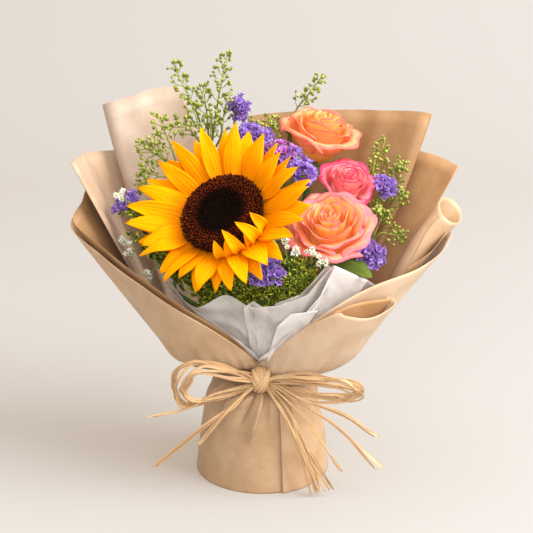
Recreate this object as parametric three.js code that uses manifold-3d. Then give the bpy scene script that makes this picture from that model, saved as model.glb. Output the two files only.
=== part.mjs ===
// Mixed flower bouquet in a brown paper wrap, tied with raffia. Millimetres, Z up, front towards -Y.
import * as THREE from 'three';
import Module from 'manifold-3d';

const wasm = await Module();
wasm.setup();

// Driving dimensions
const TIE_BOTTOM = 88;
const BEND_HEIGHT = 100;
const SLEEVE_TOP = 95;
const SLEEVE_LAP = 1.4;
const PAPER = 0.8;
const TISSUE = 0.6;
const LAYER_STEP = 1.25;
const INNER_KRAFT_RADIUS = 18;
const INNER_TISSUE_RADIUS = 15.2;
const TISSUE_STEP = 0.9;
const OUTER_LAYER = 5;
const TISSUE_LAYERS_IN = 3;
const TISSUE_CORNER = 101;
const TISSUE_FILLET = 12;
const SLEEVE_NECK_RADIUS = 24.3;
const SLEEVE_FOOT_RADIUS = 58;
const BAND_RADIUS = 26.7;
const BAND_TOP = 96.5;
const STRAND = 0.9;
const SEAT = 0.3;
const THIN_STEM = 2.4;
const ROSE_STEM = 2.7;
const SUNFLOWER_STEM = 4.5;
const INNER_SLOT_RADIUS = 7.6;
const OUTER_SLOT_RADIUS = 12.2;
const BETWEEN_SLOT_RADIUS = 11.0;
const BRANCH = 1.3;
const FLOWER_BRANCH = 0.7;
const PETAL = 1.2;
const TIE_HEIGHT = 96;
const FREE_HEIGHT = 110;
const SPREAD_HEIGHT = 114;
const STEM_TWIST = 0.28;
const BUD_REACH = 20;
const GOLDEN_ANGLE = 2.39996;

const V = (x, y, z) => new THREE.Vector3(x, y, z);
const rad = THREE.MathUtils.degToRad;
const lerp = THREE.MathUtils.lerp;

// Compass of the wrap: 0 degrees is the front, positive turns to the right.
function polar(radius, degrees, height) {
  return V(radius * Math.sin(rad(degrees)), -radius * Math.cos(rad(degrees)), height);
}

function seeded(seed) {
  let state = seed >>> 0;
  return () => {
    state = (state + 0x6d2b79f5) >>> 0;
    let t = state;
    t = Math.imul(t ^ (t >>> 15), t | 1);
    t ^= t + Math.imul(t ^ (t >>> 7), t | 61);
    return ((t ^ (t >>> 14)) >>> 0) / 4294967296;
  };
}

// Closed surfaces
function surface(points, triangles) {
  const geometry = new THREE.BufferGeometry();
  const numbers = points.flatMap((p) => p.toArray());
  geometry.setAttribute('position', new THREE.Float32BufferAttribute(numbers, 3));
  geometry.setIndex(triangles.flat());
  return geometry;
}

function toManifold(geometry) {
  return new wasm.Manifold(new wasm.Mesh({
    numProp: 3,
    vertProperties: new Float32Array(geometry.attributes.position.array),
    triVerts: new Uint32Array(geometry.index.array),
  }));
}

function toGeometry(manifold) {
  const mesh = manifold.getMesh();
  const geometry = new THREE.BufferGeometry();
  const positions = [];
  for (let i = 0; i < mesh.vertProperties.length; i += mesh.numProp) {
    positions.push(mesh.vertProperties[i], mesh.vertProperties[i + 1], mesh.vertProperties[i + 2]);
  }
  geometry.setAttribute('position', new THREE.Float32BufferAttribute(positions, 3));
  geometry.setIndex([...mesh.triVerts]);
  return geometry;
}

// Only the largest outer skin is kept, so a sealed hollow is filled and a scrap is dropped.
function largest(manifold) {
  const pieces = manifold.decompose();
  return pieces.reduce((best, piece) => (piece.volume() > best.volume() ? piece : best));
}

function fuse(geometries) {
  return toGeometry(largest(wasm.Manifold.union(geometries.map(toManifold))));
}

function fan(rings, tipStart, tipEnd) {
  const points = rings.flat();
  const sides = rings[0].length;
  const triangles = [];
  for (let i = 0; i + 1 < rings.length; i += 1) {
    for (let k = 0; k < sides; k += 1) {
      const a = i * sides + k;
      const b = i * sides + ((k + 1) % sides);
      triangles.push([a, b, b + sides], [a, b + sides, a + sides]);
    }
  }
  const first = points.push(tipStart) - 1;
  const last = points.push(tipEnd) - 1;
  const base = (rings.length - 1) * sides;
  for (let k = 0; k < sides; k += 1) {
    triangles.push([first, (k + 1) % sides, k]);
    triangles.push([last, base + k, base + ((k + 1) % sides)]);
  }
  return surface(points, triangles);
}

// A round rod along points; its radius is one number or one for each point.
function rod(points, radius, sides = 4, segments = 0) {
  const curve = new THREE.CatmullRomCurve3(points, false, 'centripetal');
  const count = segments || points.length - 1;
  const line = segments ? curve.getPoints(segments) : points;
  let side = null;
  const rings = line.map((p, i) => {
    const along = line[Math.min(i + 1, count)].clone().sub(line[Math.max(i - 1, 0)]).normalize();
    if (!side) {
      side = Math.abs(along.z) > 0.9 ? V(1, 0, 0) : V(0, 0, 1);
    }
    side = side.clone().sub(along.clone().multiplyScalar(side.dot(along))).normalize();
    const up = along.clone().cross(side);
    const size = typeof radius === 'function' ? radius(i / count) : radius;
    return Array.from({ length: sides }, (_, k) => {
      const turn = (2 * Math.PI * k) / sides;
      return p.clone()
        .addScaledVector(side, size * Math.cos(turn))
        .addScaledVector(up, size * Math.sin(turn));
    });
  });
  return fan(rings, line[0].clone(), line[count].clone());
}

// A leaf or petal along points: pointed at both ends, thickest on its midrib. Both faces split alike.
function blade(points, halfWidths, up, thickness = 1) {
  const last = points.length - 1;
  const vertices = [points[0].clone()];
  for (let i = 1; i < last; i += 1) {
    const along = points[i + 1].clone().sub(points[i - 1]).normalize();
    const side = along.clone().cross(up).normalize();
    const face = side.clone().cross(along).normalize();
    const p = points[i];
    vertices.push(
      p.clone().addScaledVector(side, -halfWidths[i]),
      p.clone().addScaledVector(face, thickness / 2),
      p.clone().addScaledVector(side, halfWidths[i]),
      p.clone().addScaledVector(face, -thickness / 2),
    );
  }
  vertices.push(points[last].clone());
  const end = vertices.length - 1;
  const triangles = [];
  for (let i = 0; i < last - 2; i += 1) {
    const a = 1 + 4 * i;
    const b = a + 4;
    triangles.push([a, a + 1, b + 1], [a, b + 1, b]);
    triangles.push([a + 1, a + 2, b + 1], [a + 2, b + 2, b + 1]);
    triangles.push([a + 2, a + 3, b + 3], [a + 2, b + 3, b + 2]);
    triangles.push([a + 3, a, b + 3], [a, b, b + 3]);
  }
  const base = end - 4;
  for (let k = 0; k < 4; k += 1) {
    triangles.push([0, 1 + ((k + 1) % 4), 1 + k]);
    triangles.push([end, base + k, base + ((k + 1) % 4)]);
  }
  return surface(vertices, triangles);
}

// A sheet of even thickness over a grid of points, both faces split alike.
function sheet(grid, thickness) {
  const nu = grid.length - 1;
  const nv = grid[0].length - 1;
  const row = nv + 1;
  const front = [];
  const back = [];
  for (let i = 0; i <= nu; i += 1) {
    for (let j = 0; j <= nv; j += 1) {
      const du = grid[Math.min(i + 1, nu)][j].clone().sub(grid[Math.max(i - 1, 0)][j]);
      const dv = grid[i][Math.min(j + 1, nv)].clone().sub(grid[i][Math.max(j - 1, 0)]);
      const normal = du.cross(dv).normalize();
      front.push(grid[i][j].clone().addScaledVector(normal, thickness / 2));
      back.push(grid[i][j].clone().addScaledVector(normal, -thickness / 2));
    }
  }
  const under = front.length;
  const triangles = [];
  const strip = (a, b) => triangles.push([a, a + under, b + under], [a, b + under, b]);
  for (let i = 0; i < nu; i += 1) {
    for (let j = 0; j < nv; j += 1) {
      const a = i * row + j;
      const b = a + row;
      triangles.push([a, b, b + 1], [a, b + 1, a + 1]);
      triangles.push([a + under, b + 1 + under, b + under], [a + under, a + 1 + under, b + 1 + under]);
    }
  }
  for (let i = 0; i < nu; i += 1) {
    strip(i * row, (i + 1) * row);
    strip((i + 1) * row + nv, i * row + nv);
  }
  for (let j = 0; j < nv; j += 1) {
    strip(j + 1, j);
    strip(nu * row + j, nu * row + j + 1);
  }
  return surface([...front, ...back], triangles);
}

// A small leaf of three sides: flat below, with a ridge above.
function leaflet(root, tip, halfWidth, thickness) {
  const along = tip.clone().sub(root).normalize();
  const side = along.clone().cross(V(0, -0.5, 0.8)).normalize();
  const face = side.clone().cross(along);
  const middle = root.clone().lerp(tip, 0.5);
  const half = thickness / 2;
  const ring = [[0, half], [halfWidth, -half], [-halfWidth, -half]].map(([x, z]) => (
    middle.clone().addScaledVector(side, x).addScaledVector(face, z)
  ));
  return fan([ring], root, tip);
}

// A small closed cup that flares from a point: the plain form of a floret.
function floret(at, direction, size, lobes) {
  const along = direction.clone().normalize();
  const side = along.clone().cross(Math.abs(along.z) > 0.9 ? V(1, 0, 0) : V(0, 0, 1)).normalize();
  const up = along.clone().cross(side);
  const rim = Array.from({ length: lobes }, (_, k) => {
    const turn = (2 * Math.PI * k) / lobes;
    return at.clone()
      .addScaledVector(side, size * Math.cos(turn))
      .addScaledVector(up, size * Math.sin(turn));
  });
  const foot = at.clone().addScaledVector(along, -1.6 * size);
  const eye = at.clone().addScaledVector(along, -0.35 * size);
  return fan([rim], foot, eye);
}

// The same surface with each corner point kept once.
function welded(geometry) {
  const keys = new Map();
  const points = [];
  const position = geometry.attributes.position;
  const index = [];
  for (let i = 0; i < position.count; i += 1) {
    const p = V(position.getX(i), position.getY(i), position.getZ(i));
    const key = p.toArray().map((value) => Math.round(value * 1e4)).join();
    if (!keys.has(key)) {
      keys.set(key, points.push(p) - 1);
    }
    index.push(keys.get(key));
  }
  const triangles = [];
  const order = geometry.index ? [...geometry.index.array].map((i) => index[i]) : index;
  for (let i = 0; i < order.length; i += 3) {
    triangles.push([order[i], order[i + 1], order[i + 2]]);
  }
  return surface(points, triangles);
}

function pod(at, radius) {
  return welded(new THREE.OctahedronGeometry(radius, 0).translate(at.x, at.y, at.z));
}

// Paper of the wrap: upright through the tie, bent out over it, then a straight flare to its rim.
// Each column is [angle at the tie, angle at the rim, rim radius, rim height, corner radius].
function wrapGrid({ layer, neck, columns, steps, corner, fillet, curlStart, curlEnd }) {
  const rise = LAYER_STEP * (OUTER_LAYER - layer);
  const bend = BEND_HEIGHT + rise;
  const outline = (angle0, angle1, rimRadius, rimHeight, cornerRadius) => {
    const start = new THREE.Vector2(neck, bend);
    const turn = new THREE.Vector2(cornerRadius + LAYER_STEP * layer, corner + rise);
    const rim = new THREE.Vector2(rimRadius, rimHeight);
    const out = turn.clone().sub(start);
    const up = rim.clone().sub(turn);
    const cut = Math.min(fillet, 0.6 * out.length(), 0.6 * up.length());
    const before = turn.clone().addScaledVector(out.clone().normalize(), -cut);
    const after = turn.clone().addScaledVector(up.clone().normalize(), cut);
    const middle = before.clone().add(after).multiplyScalar(0.25).addScaledVector(turn, 0.5);
    const lip = Math.min(3, 0.3 * out.length());
    const line = [
      new THREE.Vector2(neck, TIE_BOTTOM - 1),
      new THREE.Vector2(neck, bend - lip),
      start.clone().addScaledVector(out.clone().normalize(), lip),
      before,
      middle,
      after,
      after.clone().lerp(rim, 0.5),
      rim,
    ];
    const total = rim.y - bend;
    return line.map((p) => {
      const share = THREE.MathUtils.clamp((p.y - bend) / total, 0, 1);
      return { share, point: polar(p.x, lerp(angle0, angle1, Math.sqrt(share)), p.y) };
    });
  };
  const made = [];
  columns.slice(0, -1).forEach((from, i) => {
    const to = columns[i + 1];
    for (let k = 0; k < steps; k += 1) {
      made.push(outline(...from.map((value, j) => lerp(value, to[j], k / steps))));
    }
  });
  made.push(outline(...columns[columns.length - 1]));
  const grid = made.map((column) => column.map((station) => station.point));
  const shares = made[0].map((station) => station.share);
  const roll = (edge, inner, { radius, turn, parts, out }) => Array.from({ length: parts }, (_, k) => {
    const angle = rad((turn * (k + 1)) / parts);
    return edge.map((p, j) => {
      const tangent = p.clone().sub(inner[j]).normalize();
      const after = edge[Math.min(j + 1, edge.length - 1)];
      const along = after.clone().sub(edge[Math.max(j - 1, 0)]).normalize();
      const normal = tangent.clone().cross(along).normalize();
      if (normal.dot(V(p.x, p.y, -20)) < 0) {
        normal.negate();
      }
      const size = radius * Math.max(shares[j], 0.06);
      return p.clone()
        .addScaledVector(tangent, size * Math.sin(angle))
        .addScaledVector(normal, out * size * (1 - Math.cos(angle)));
    });
  });
  if (curlEnd) {
    grid.push(...roll(grid[grid.length - 1], grid[grid.length - 2], curlEnd));
  }
  if (curlStart) {
    grid.unshift(...roll(grid[0], grid[1], curlStart).reverse());
  }
  return grid;
}

const neckOf = (layer) => INNER_KRAFT_RADIUS + LAYER_STEP * layer;

// Angles at the tie and rim, rim radius and height, corner radius; from the photo, rounded.
const KRAFT = {
  kraft_back_right: {
    layer: 0,
    steps: 2,
    corner: 100,
    fillet: 18,
    columns: [
      [88, 122, 163, 300, 60],
      [115, 138, 142, 297, 60],
      [150, 160, 118, 295, 60],
      [195, 187, 107, 291, 58],
    ],
    curlStart: { radius: 12, turn: 60, parts: 2, out: 1 },
  },
  kraft_back_left: {
    layer: 1,
    steps: 2,
    corner: 100,
    fillet: 18,
    columns: [
      [-190, -142, 117, 322, 60],
      [-150, -130, 131, 320, 62],
      [-88, -118, 143, 315, 63],
    ],
    curlEnd: { radius: 10, turn: 80, parts: 3, out: 1 },
  },
  kraft_side_left: {
    layer: 2,
    steps: 2,
    corner: 100,
    fillet: 18,
    columns: [
      [-130, -124, 146, 266, 66],
      [-105, -106, 154, 274, 68],
      [-84, -89, 155, 279, 69],
    ],
    curlEnd: { radius: 7, turn: 60, parts: 2, out: 1 },
  },
  kraft_side_right: {
    layer: 1,
    steps: 2,
    corner: 99,
    fillet: 20,
    columns: [
      [78, 99, 169, 266, 66],
      [98, 110, 166, 271, 66],
      [120, 128, 162, 262, 66],
    ],
  },
  kraft_left_outer: {
    layer: 3,
    steps: 2,
    corner: 100,
    fillet: 16,
    columns: [
      [-112, -108, 153, 252, 72],
      [-92, -93, 152, 240, 71],
      [-82, -84, 160, 225, 71],
      [-74, -76, 136, 206, 69],
      [-60, -60, 112, 187, 62],
      [-44, -45, 92, 168, 48],
      [-28, -27, 58, 138, 34],
      [-7, -9, 31, 108, 26],
    ],
  },
  kraft_right_outer: {
    layer: 3,
    steps: 2,
    corner: 99,
    fillet: 30,
    columns: [
      [20, 22, 52, 134, 34],
      [36, 41, 89, 173, 50],
      [52, 58, 108, 189, 62],
      [68, 74, 134, 200, 69],
      [86, 87, 158, 219, 69],
    ],
  },
  kraft_front_curl: {
    layer: 4,
    steps: 1,
    corner: 98,
    fillet: 30,
    columns: [
      [6, 9, 32, 107, 28],
      [22, 25, 71, 151, 40],
      [32, 37, 97, 174, 54],
      [42, 47, 107, 165, 62],
      [56, 60, 118, 167, 68],
      [66, 66, 123, 171, 70],
    ],
    curlEnd: { radius: 4.5, turn: 100, parts: 3, out: -1 },
  },
};

const TISSUES = {
  tissue_inner: {
    layer: -3,
    steps: 1,
    columns: [
      [14, 14, 64, 178, 28],
      [24, 26, 70, 194, 30],
      [34, 35, 74, 200, 32],
      [44, 44, 77, 203, 34],
      [52, 52, 81, 199, 36],
      [60, 60, 85, 192, 38],
    ],
  },
  tissue_left: {
    layer: -2,
    steps: 1,
    columns: [
      [-60, -62, 92, 193, 40],
      [-46, -46, 80, 169, 36],
      [-28, -26, 70, 182, 30],
      [-8, -10, 64, 173, 27],
      [6, 5, 63, 172, 26],
    ],
  },
  tissue_right: {
    layer: -1,
    steps: 1,
    columns: [
      [-5, -6, 66, 172, 29],
      [14, 14, 70, 176, 30],
      [28, 32, 79, 188, 34],
      [42, 48, 86, 206, 40],
      [62, 68, 98, 184, 47],
      [92, 80, 100, 172, 49],
    ],
  },
};

const parts = [];
const COLOURS = {
  kraft: 0xb98f63,
  tissue: 0xe8e6e4,
  raffia: 0xd9b77e,
  ray: 0xffb000,
  disc: 0x2a140c,
  leaf: 0x4f7a2c,
  moss: 0x3c5f22,
  peach: 0xf7966a,
  orange: 0xf58a4e,
  pink: 0xe8547c,
  violet: 0x6b4bc4,
  magenta: 0xb04fc0,
};

function add(name, geometry, colour) {
  const material = new THREE.MeshStandardMaterial({ color: COLOURS[colour], roughness: 0.7 });
  const mesh = new THREE.Mesh(geometry, material);
  mesh.name = name;
  parts.push(mesh);
}

for (const [name, spec] of Object.entries(KRAFT)) {
  add(name, sheet(wrapGrid({ ...spec, neck: neckOf(spec.layer) }), PAPER), 'kraft');
}
for (const [name, spec] of Object.entries(TISSUES)) {
  const neck = INNER_TISSUE_RADIUS + TISSUE_STEP * (spec.layer + TISSUE_LAYERS_IN);
  const grid = wrapGrid({ corner: TISSUE_CORNER, fillet: TISSUE_FILLET, neck, ...spec });
  add(name, sheet(grid, TISSUE), 'tissue');
}

// The right edge of the wrap, rolled to a cone: an open tube of paper between two sheets.
const ROLL = {
  foot: { centre: polar(99.8, 82.5, 150), wide: 11, deep: 3.4 },
  middle: { centre: polar(131, 86, 203), wide: 12, deep: 8 },
  mouth: { centre: V(158, -2, 236), wide: 13.5, deep: 12 },
};
const ROLL_COLUMNS = 14;
const ROLL_START = 20;
const ROLL_TURN = 335;
const rollCurve = new THREE.CatmullRomCurve3([ROLL.foot.centre, ROLL.middle.centre, ROLL.mouth.centre]);
const rollGrid = Array.from({ length: ROLL_COLUMNS + 1 }, (_, i) => {
  const turn = rad(ROLL_START + (i * ROLL_TURN) / ROLL_COLUMNS);
  return [0, 0.25, 0.5, 0.75, 1].map((t) => {
    const centre = rollCurve.getPoint(t);
    const along = rollCurve.getTangent(t);
    const across = along.clone().cross(V(1, 0, 0.6)).normalize();
    const outward = across.clone().cross(along).normalize();
    const half = t < 0.5 ? [ROLL.foot, ROLL.middle, 2 * t] : [ROLL.middle, ROLL.mouth, 2 * t - 1];
    const wide = lerp(half[0].wide, half[1].wide, half[2]);
    const deep = lerp(half[0].deep, half[1].deep, half[2]);
    return centre
      .addScaledVector(across, wide * Math.cos(turn))
      .addScaledVector(outward, deep * Math.sin(turn));
  });
});
add('kraft_right_roll', sheet(rollGrid, PAPER), 'kraft');

// Sleeve below the tie: one sheet wound round once, its outer end lapped over its start in front.
const SLEEVE_PROFILE = [
  [SLEEVE_NECK_RADIUS, SLEEVE_TOP],
  [SLEEVE_NECK_RADIUS, 88.6],
  [29, 86.4],
  [38, 83.6],
  [46.5, 75.5],
  [52.5, 45],
  [SLEEVE_FOOT_RADIUS, 0],
];
const SLEEVE_COLUMNS = 30;
const SLEEVE_START = -1;
const SLEEVE_END = 373;
// Degrees round, width in degrees and depth of each pleat.
const SLEEVE_PLEATS = [
  [-24, 7, 2.2],
  [-9, 5, -1.6],
  [42, 8, 2],
  [70, 8, -1.5],
  [-62, 9, 1.8],
  [-110, 10, -1.5],
  [120, 10, 1.6],
  [170, 12, 1.6],
];
function pleat(angle, height) {
  const risen = THREE.MathUtils.smoothstep(height, 5, 75);
  const fade = risen * (1 - THREE.MathUtils.smoothstep(height, 84, 91));
  return SLEEVE_PLEATS.reduce((sum, [at, width, depth]) => {
    const away = THREE.MathUtils.euclideanModulo(angle - at + 180, 360) - 180;
    return sum + depth * fade * Math.exp(-((away / width) ** 2));
  }, 0);
}
const sleeveGrid = Array.from({ length: SLEEVE_COLUMNS + 1 }, (_, i) => {
  const share = i / SLEEVE_COLUMNS;
  const angle = lerp(SLEEVE_START, SLEEVE_END, share);
  const lap = SLEEVE_LAP * THREE.MathUtils.smoothstep(share, 0.86, 0.96);
  return SLEEVE_PROFILE.map(([radius, height]) => polar(radius + lap + pleat(angle, height), angle, height));
});
const sleeve = sheet(sleeveGrid, PAPER);
// Its lower edge is set flat, so that it stands.
const sleevePoints = sleeve.attributes.position;
for (let i = 0; i < sleevePoints.count; i += 1) {
  if (Math.abs(sleevePoints.getZ(i)) < PAPER) {
    sleevePoints.setZ(i, 0);
  }
}
add('kraft_foot_sleeve', sleeve, 'kraft');

// Raffia: turns round the neck, then a bow of single strands that start in the knot.
// Each point is its distance out from the neck and its height.
const BAND_PROFILE = [
  [0, 88.9],
  [1.3, 89.4],
  [0.9, 91],
  [1.5, 92.2],
  [1, 93.8],
  [1.5, 95],
  [0, BAND_TOP],
  [0, 88.9],
];
const BAND_SIDES = 22;
const bandPoints = BAND_PROFILE.map(([out, height]) => new THREE.Vector2(BAND_RADIUS + out, height));
const band = welded(new THREE.LatheGeometry(bandPoints, BAND_SIDES)).rotateX(Math.PI / 2);
add('raffia_band', band, 'raffia');

const KNOT = { centre: V(0, -33.9, 94), size: [10, 5.2, 6.5] };
const STRANDS_MEET = V(0, -34.2, 94);
const LOOP_PARTS = 13;
const TAIL_PARTS = 5;
const LOOPS = [
  [
    [-10, -39, 100], [-33, -49, 113], [-56, -58, 121], [-69, -58, 112],
    [-74, -54, 93], [-64, -50, 78], [-40, -45, 84], [-10, -38, 92],
  ],
  [
    [-9, -39, 98], [-30, -50, 108], [-52, -60, 113], [-63, -60, 104],
    [-66, -56, 92], [-56, -52, 84], [-36, -46, 87], [-9, -37, 91],
  ],
  [
    [8, -39, 99], [32, -54, 106], [57, -66, 109], [80, -64, 102],
    [82, -60, 92], [66, -54, 86], [40, -47, 88], [10, -38, 91],
  ],
  [
    [9, -38, 97], [34, -52, 102], [60, -63, 103], [77, -61, 97],
    [74, -57, 90], [56, -52, 87], [32, -45, 89], [9, -37, 92],
  ],
];
const TAILS = [
  [[-10, -40, 93], [-40, -50, 89], [-61, -52, 78], [-93, -52, 69]],
  [[-9, -41, 91], [-26, -54, 79], [-48, -60, 65], [-91, -56, 25]],
  [[-7, -41, 92], [-24, -55, 81], [-42, -62, 63], [-54, -64, 48]],
  [[5, -42, 90], [18, -58, 75], [30, -65, 50], [46, -65, 4]],
  [[8, -42, 90], [23, -58, 75], [37, -65, 48], [55, -63, 6]],
  [[10, -42, 91], [28, -56, 78], [47, -62, 54], [68, -60, 22]],
  [[12, -40, 93], [36, -54, 85], [67, -58, 74], [99, -56, 52]],
  [[11, -41, 92], [34, -55, 81], [63, -60, 64], [103, -58, 24]],
];
const asPoints = (list) => list.map((p) => V(...p));
const knot = new THREE.SphereGeometry(1, 8, 5).scale(...KNOT.size).translate(...KNOT.centre.toArray());
const strandsBack = STRANDS_MEET.clone().setX(0.6);
const loops = LOOPS.map((list) => rod([STRANDS_MEET, ...asPoints(list), strandsBack], STRAND, 3, LOOP_PARTS));
const tails = TAILS.map((list) => rod([STRANDS_MEET, ...asPoints(list)], STRAND, 3, TAIL_PARTS));
add('raffia_bow', fuse([welded(knot), ...loops, ...tails]), 'raffia');

// Stems keep their order through the tie: each has its own slot there and spreads above and below it.
// Height below the tie, and how many times its slot's radius a stem has spread to there.
const SPLAY = [
  [84, 1.08],
  [45, 2.3],
  [0, 3],
];
function slot(radius, degrees) {
  return { radius, degrees };
}
function stemLine(place, head, direction, reach) {
  const tie = polar(place.radius, place.degrees, TIE_HEIGHT);
  const below = SPLAY.map(([height, spread]) => {
    const twist = STEM_TWIST * (TIE_HEIGHT - Math.max(height, 8));
    return polar(place.radius * spread, place.degrees + twist, height);
  });
  const neck = head.clone().addScaledVector(direction, -reach);
  const above = [0.3, 0.62].map((share) => {
    const height = lerp(SPREAD_HEIGHT, neck.z, share);
    const risen = height - TIE_HEIGHT;
    const spread = place.radius * (1 + 0.02 * risen);
    const straight = tie.clone().lerp(neck, risen / (neck.z - TIE_HEIGHT));
    return polar(spread, place.degrees, height).lerp(straight, 0.25 + 0.75 * share);
  });
  const rising = polar(place.radius * 1.01, place.degrees, FREE_HEIGHT);
  return [head, neck, above[1], above[0], rising, tie, ...below].map((p) => p.clone());
}

// A frame at a flower's centre: its third axis looks out of the bloom.
function bloomFrame(centre, facing) {
  const out = facing.clone().normalize();
  const across = V(0, 0, 1).cross(out).normalize();
  return new THREE.Matrix4().makeBasis(across, out.clone().cross(across), out).setPosition(centre);
}

function leaf(base, tip, droop, halfWidth, up) {
  const shares = [0, 0.18, 0.45, 0.75, 1];
  const widths = [0, 0.7, 1, 0.62, 0].map((w) => w * halfWidth);
  const line = shares.map((t) => base.clone().lerp(tip, t).addScaledVector(up, 4 * droop * t * (1 - t)));
  return blade(line, widths, up, 1);
}

// Sunflower
const SUN = { centre: V(-31.5, -45, 245.5), facing: V(-0.346, -0.61, 0.7125), ring: 34 };
// Degrees round the disc, length, and 1 for the rays of the back row.
const RAYS = [
  [4, 45, 0], [14, 41, 1], [23, 44, 0], [32, 42, 1], [43, 40, 0], [55, 38, 1], [63, 36, 0],
  [72, 40, 1], [82, 43, 0], [93, 44, 1], [104, 49, 0], [113, 48, 1], [122, 52, 0], [131, 47, 1],
  [139, 52, 0], [148, 46, 1], [155, 47, 0], [164, 49, 1], [173, 48, 0], [181, 45, 1], [189, 51, 0],
  [201, 50, 0], [209, 42, 1], [217, 40, 0], [226, 47, 0], [238, 40, 1], [247, 46, 0], [258, 36, 0],
  [268, 42, 1], [277, 45, 0], [287, 38, 1], [297, 45, 0], [308, 46, 0], [319, 40, 1], [328, 38, 0],
  [338, 38, 1], [349, 40, 0],
];
const RAY_ROOT = 3;
const RAY_HIDDEN = 4;
const sunFrame = bloomFrame(SUN.centre, SUN.facing);
function stepped(last, away, degreesUp, step) {
  const lift = rad(degreesUp);
  return last.clone().addScaledVector(away, step * Math.cos(lift)).add(V(0, 0, step * Math.sin(lift)));
}
function ray(degrees, length, back) {
  const turn = rad(degrees);
  const away = V(Math.cos(turn), Math.sin(turn), 0);
  const line = [away.clone().multiplyScalar(SUN.ring - RAY_ROOT).setZ(back ? -6.8 : -5.8)];
  const lifts = back ? [6, 13, 6] : [16, 27, 12];
  [0.3, 0.38, 0.32].forEach((share, i) => {
    line.push(stepped(line[line.length - 1], away, lifts[i], (length + RAY_HIDDEN) * share));
  });
  return blade(line, [0, 6.6, 6.8, 0], V(0, 0, 1), PETAL);
}
// Degrees and length of the rays that curl in over the disc.
const CURLED = [[303, 20], [318, 22], [333, 18]];
function curledRay(degrees, length) {
  const turn = rad(degrees);
  const away = V(Math.cos(turn), Math.sin(turn), 0);
  const line = [away.clone().multiplyScalar(SUN.ring + 2).setZ(-4.6)];
  [50, 100, 160].forEach((degreesUp) => {
    line.push(stepped(line[line.length - 1], away, degreesUp, length / 3));
  });
  return blade(line, [0, 5.5, 5.5, 0], V(0, 0, 1), PETAL);
}
const RING_SHAPE = [[27, -7.6], [35.5, -7.6], [35.5, -5.2], [27, -5.2], [27, -7.6]];
const asProfile = (list) => list.map((p) => new THREE.Vector2(...p));
const rayRing = welded(new THREE.LatheGeometry(asProfile(RING_SHAPE), 20).rotateX(Math.PI / 2));
const rays = RAYS.map(([degrees, length, back]) => ray(degrees, length, back));
const curled = CURLED.map(([degrees, length]) => curledRay(degrees, length));
add('sunflower_rays', fuse([rayRing, ...rays, ...curled]).applyMatrix4(sunFrame), 'ray');

// The disc: a low dome whose florets stand up by formula, with a ragged rim and a shallow eye.
const DISC_UNDERSIDE = -4.8;
const DISC_EYE = 4.4;
const DISC_RINGS = [[31, DISC_UNDERSIDE], [35.2, 0.5], [31, 4.2], [25.5, 6], [19, 6.6], [12.5, 6], [6, 5.2]];
const DISC_SIDES = 28;
const TOOTH_UP = 0.9;
const TOOTH_DOWN = -0.5;
const discRings = DISC_RINGS.map(([radius, height], ring) => Array.from({ length: DISC_SIDES }, (_, k) => {
  const turn = (2 * Math.PI * (k + (ring % 2) / 2)) / DISC_SIDES;
  const toothed = ring > 0 && ring < DISC_RINGS.length - 1;
  const tooth = toothed ? (k % 2 ? TOOTH_UP : TOOTH_DOWN) : 0;
  const out = radius + (ring === 1 ? tooth : 0);
  return V(out * Math.cos(turn), out * Math.sin(turn), height + tooth);
}));
const disc = fan(discRings, V(0, 0, DISC_UNDERSIDE), V(0, 0, DISC_EYE));
add('sunflower_disc', disc.applyMatrix4(sunFrame), 'disc');

const sunPoint = (x, y, z) => V(x, y, z).applyMatrix4(sunFrame);
const sunOut = SUN.facing.clone().normalize();
const CALYX_SHAPE = [[0, -28], [5, -28], [12, -23], [26, -16], [34, -10], [33, -8], [0, -8]];
const BRACTS = 11;
const calyx = welded(new THREE.LatheGeometry(asProfile(CALYX_SHAPE), 12)).rotateX(Math.PI / 2);
const bracts = Array.from({ length: BRACTS }, (_, i) => {
  const turn = rad(10 + (360 * i) / BRACTS);
  const at = (radius, height) => sunPoint(radius * Math.cos(turn), radius * Math.sin(turn), height);
  return blade([at(27, -11), at(40, -12), at(55, -17)], [0, 6, 0], sunOut, PETAL);
});
const sunStem = rod(stemLine(slot(0, 0), sunPoint(0, 0, -24), sunOut, 26), SUNFLOWER_STEM, 7);
add('sunflower_calyx_stem', fuse([calyx.applyMatrix4(sunFrame), ...bracts, sunStem]), 'leaf');

// Roses: a bud of rolled petals inside rings of petals, each lapped over the next, on a smaller core.
const PETAL_LAP = 1.7;
const CORE_SHAPE = [[0, -0.82], [0.22, -0.78], [0.52, -0.5], [0.46, -0.2], [0, -0.05]];
function rosePetal(size, { at, width, rim, top, base, flare, wave }) {
  const turn = rad(at);
  const columns = 3;
  const grid = Array.from({ length: columns + 1 }, (_, i) => {
    const u = (2 * i) / columns - 1;
    const lapped = PETAL_LAP * u;
    return [0, 0.6, 1].map((v) => {
      const half = rad(width / 2) * lerp(0.62, 1, v);
      const angle = turn + u * half;
      const flared = v === 1 ? flare : 0;
      const radius = lerp(base, rim, v ** 0.8) + flared + lapped * lerp(0.7, 1, v);
      const rounded = v === 1 ? wave * Math.sin(3 * u + at) - 0.16 * size * Math.abs(u) ** 3 : 0;
      const height = lerp(-0.5 * size, top, v ** 1.15) + rounded;
      return V(radius * Math.cos(angle), radius * Math.sin(angle), height);
    });
  });
  return sheet(grid, 1);
}
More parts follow.
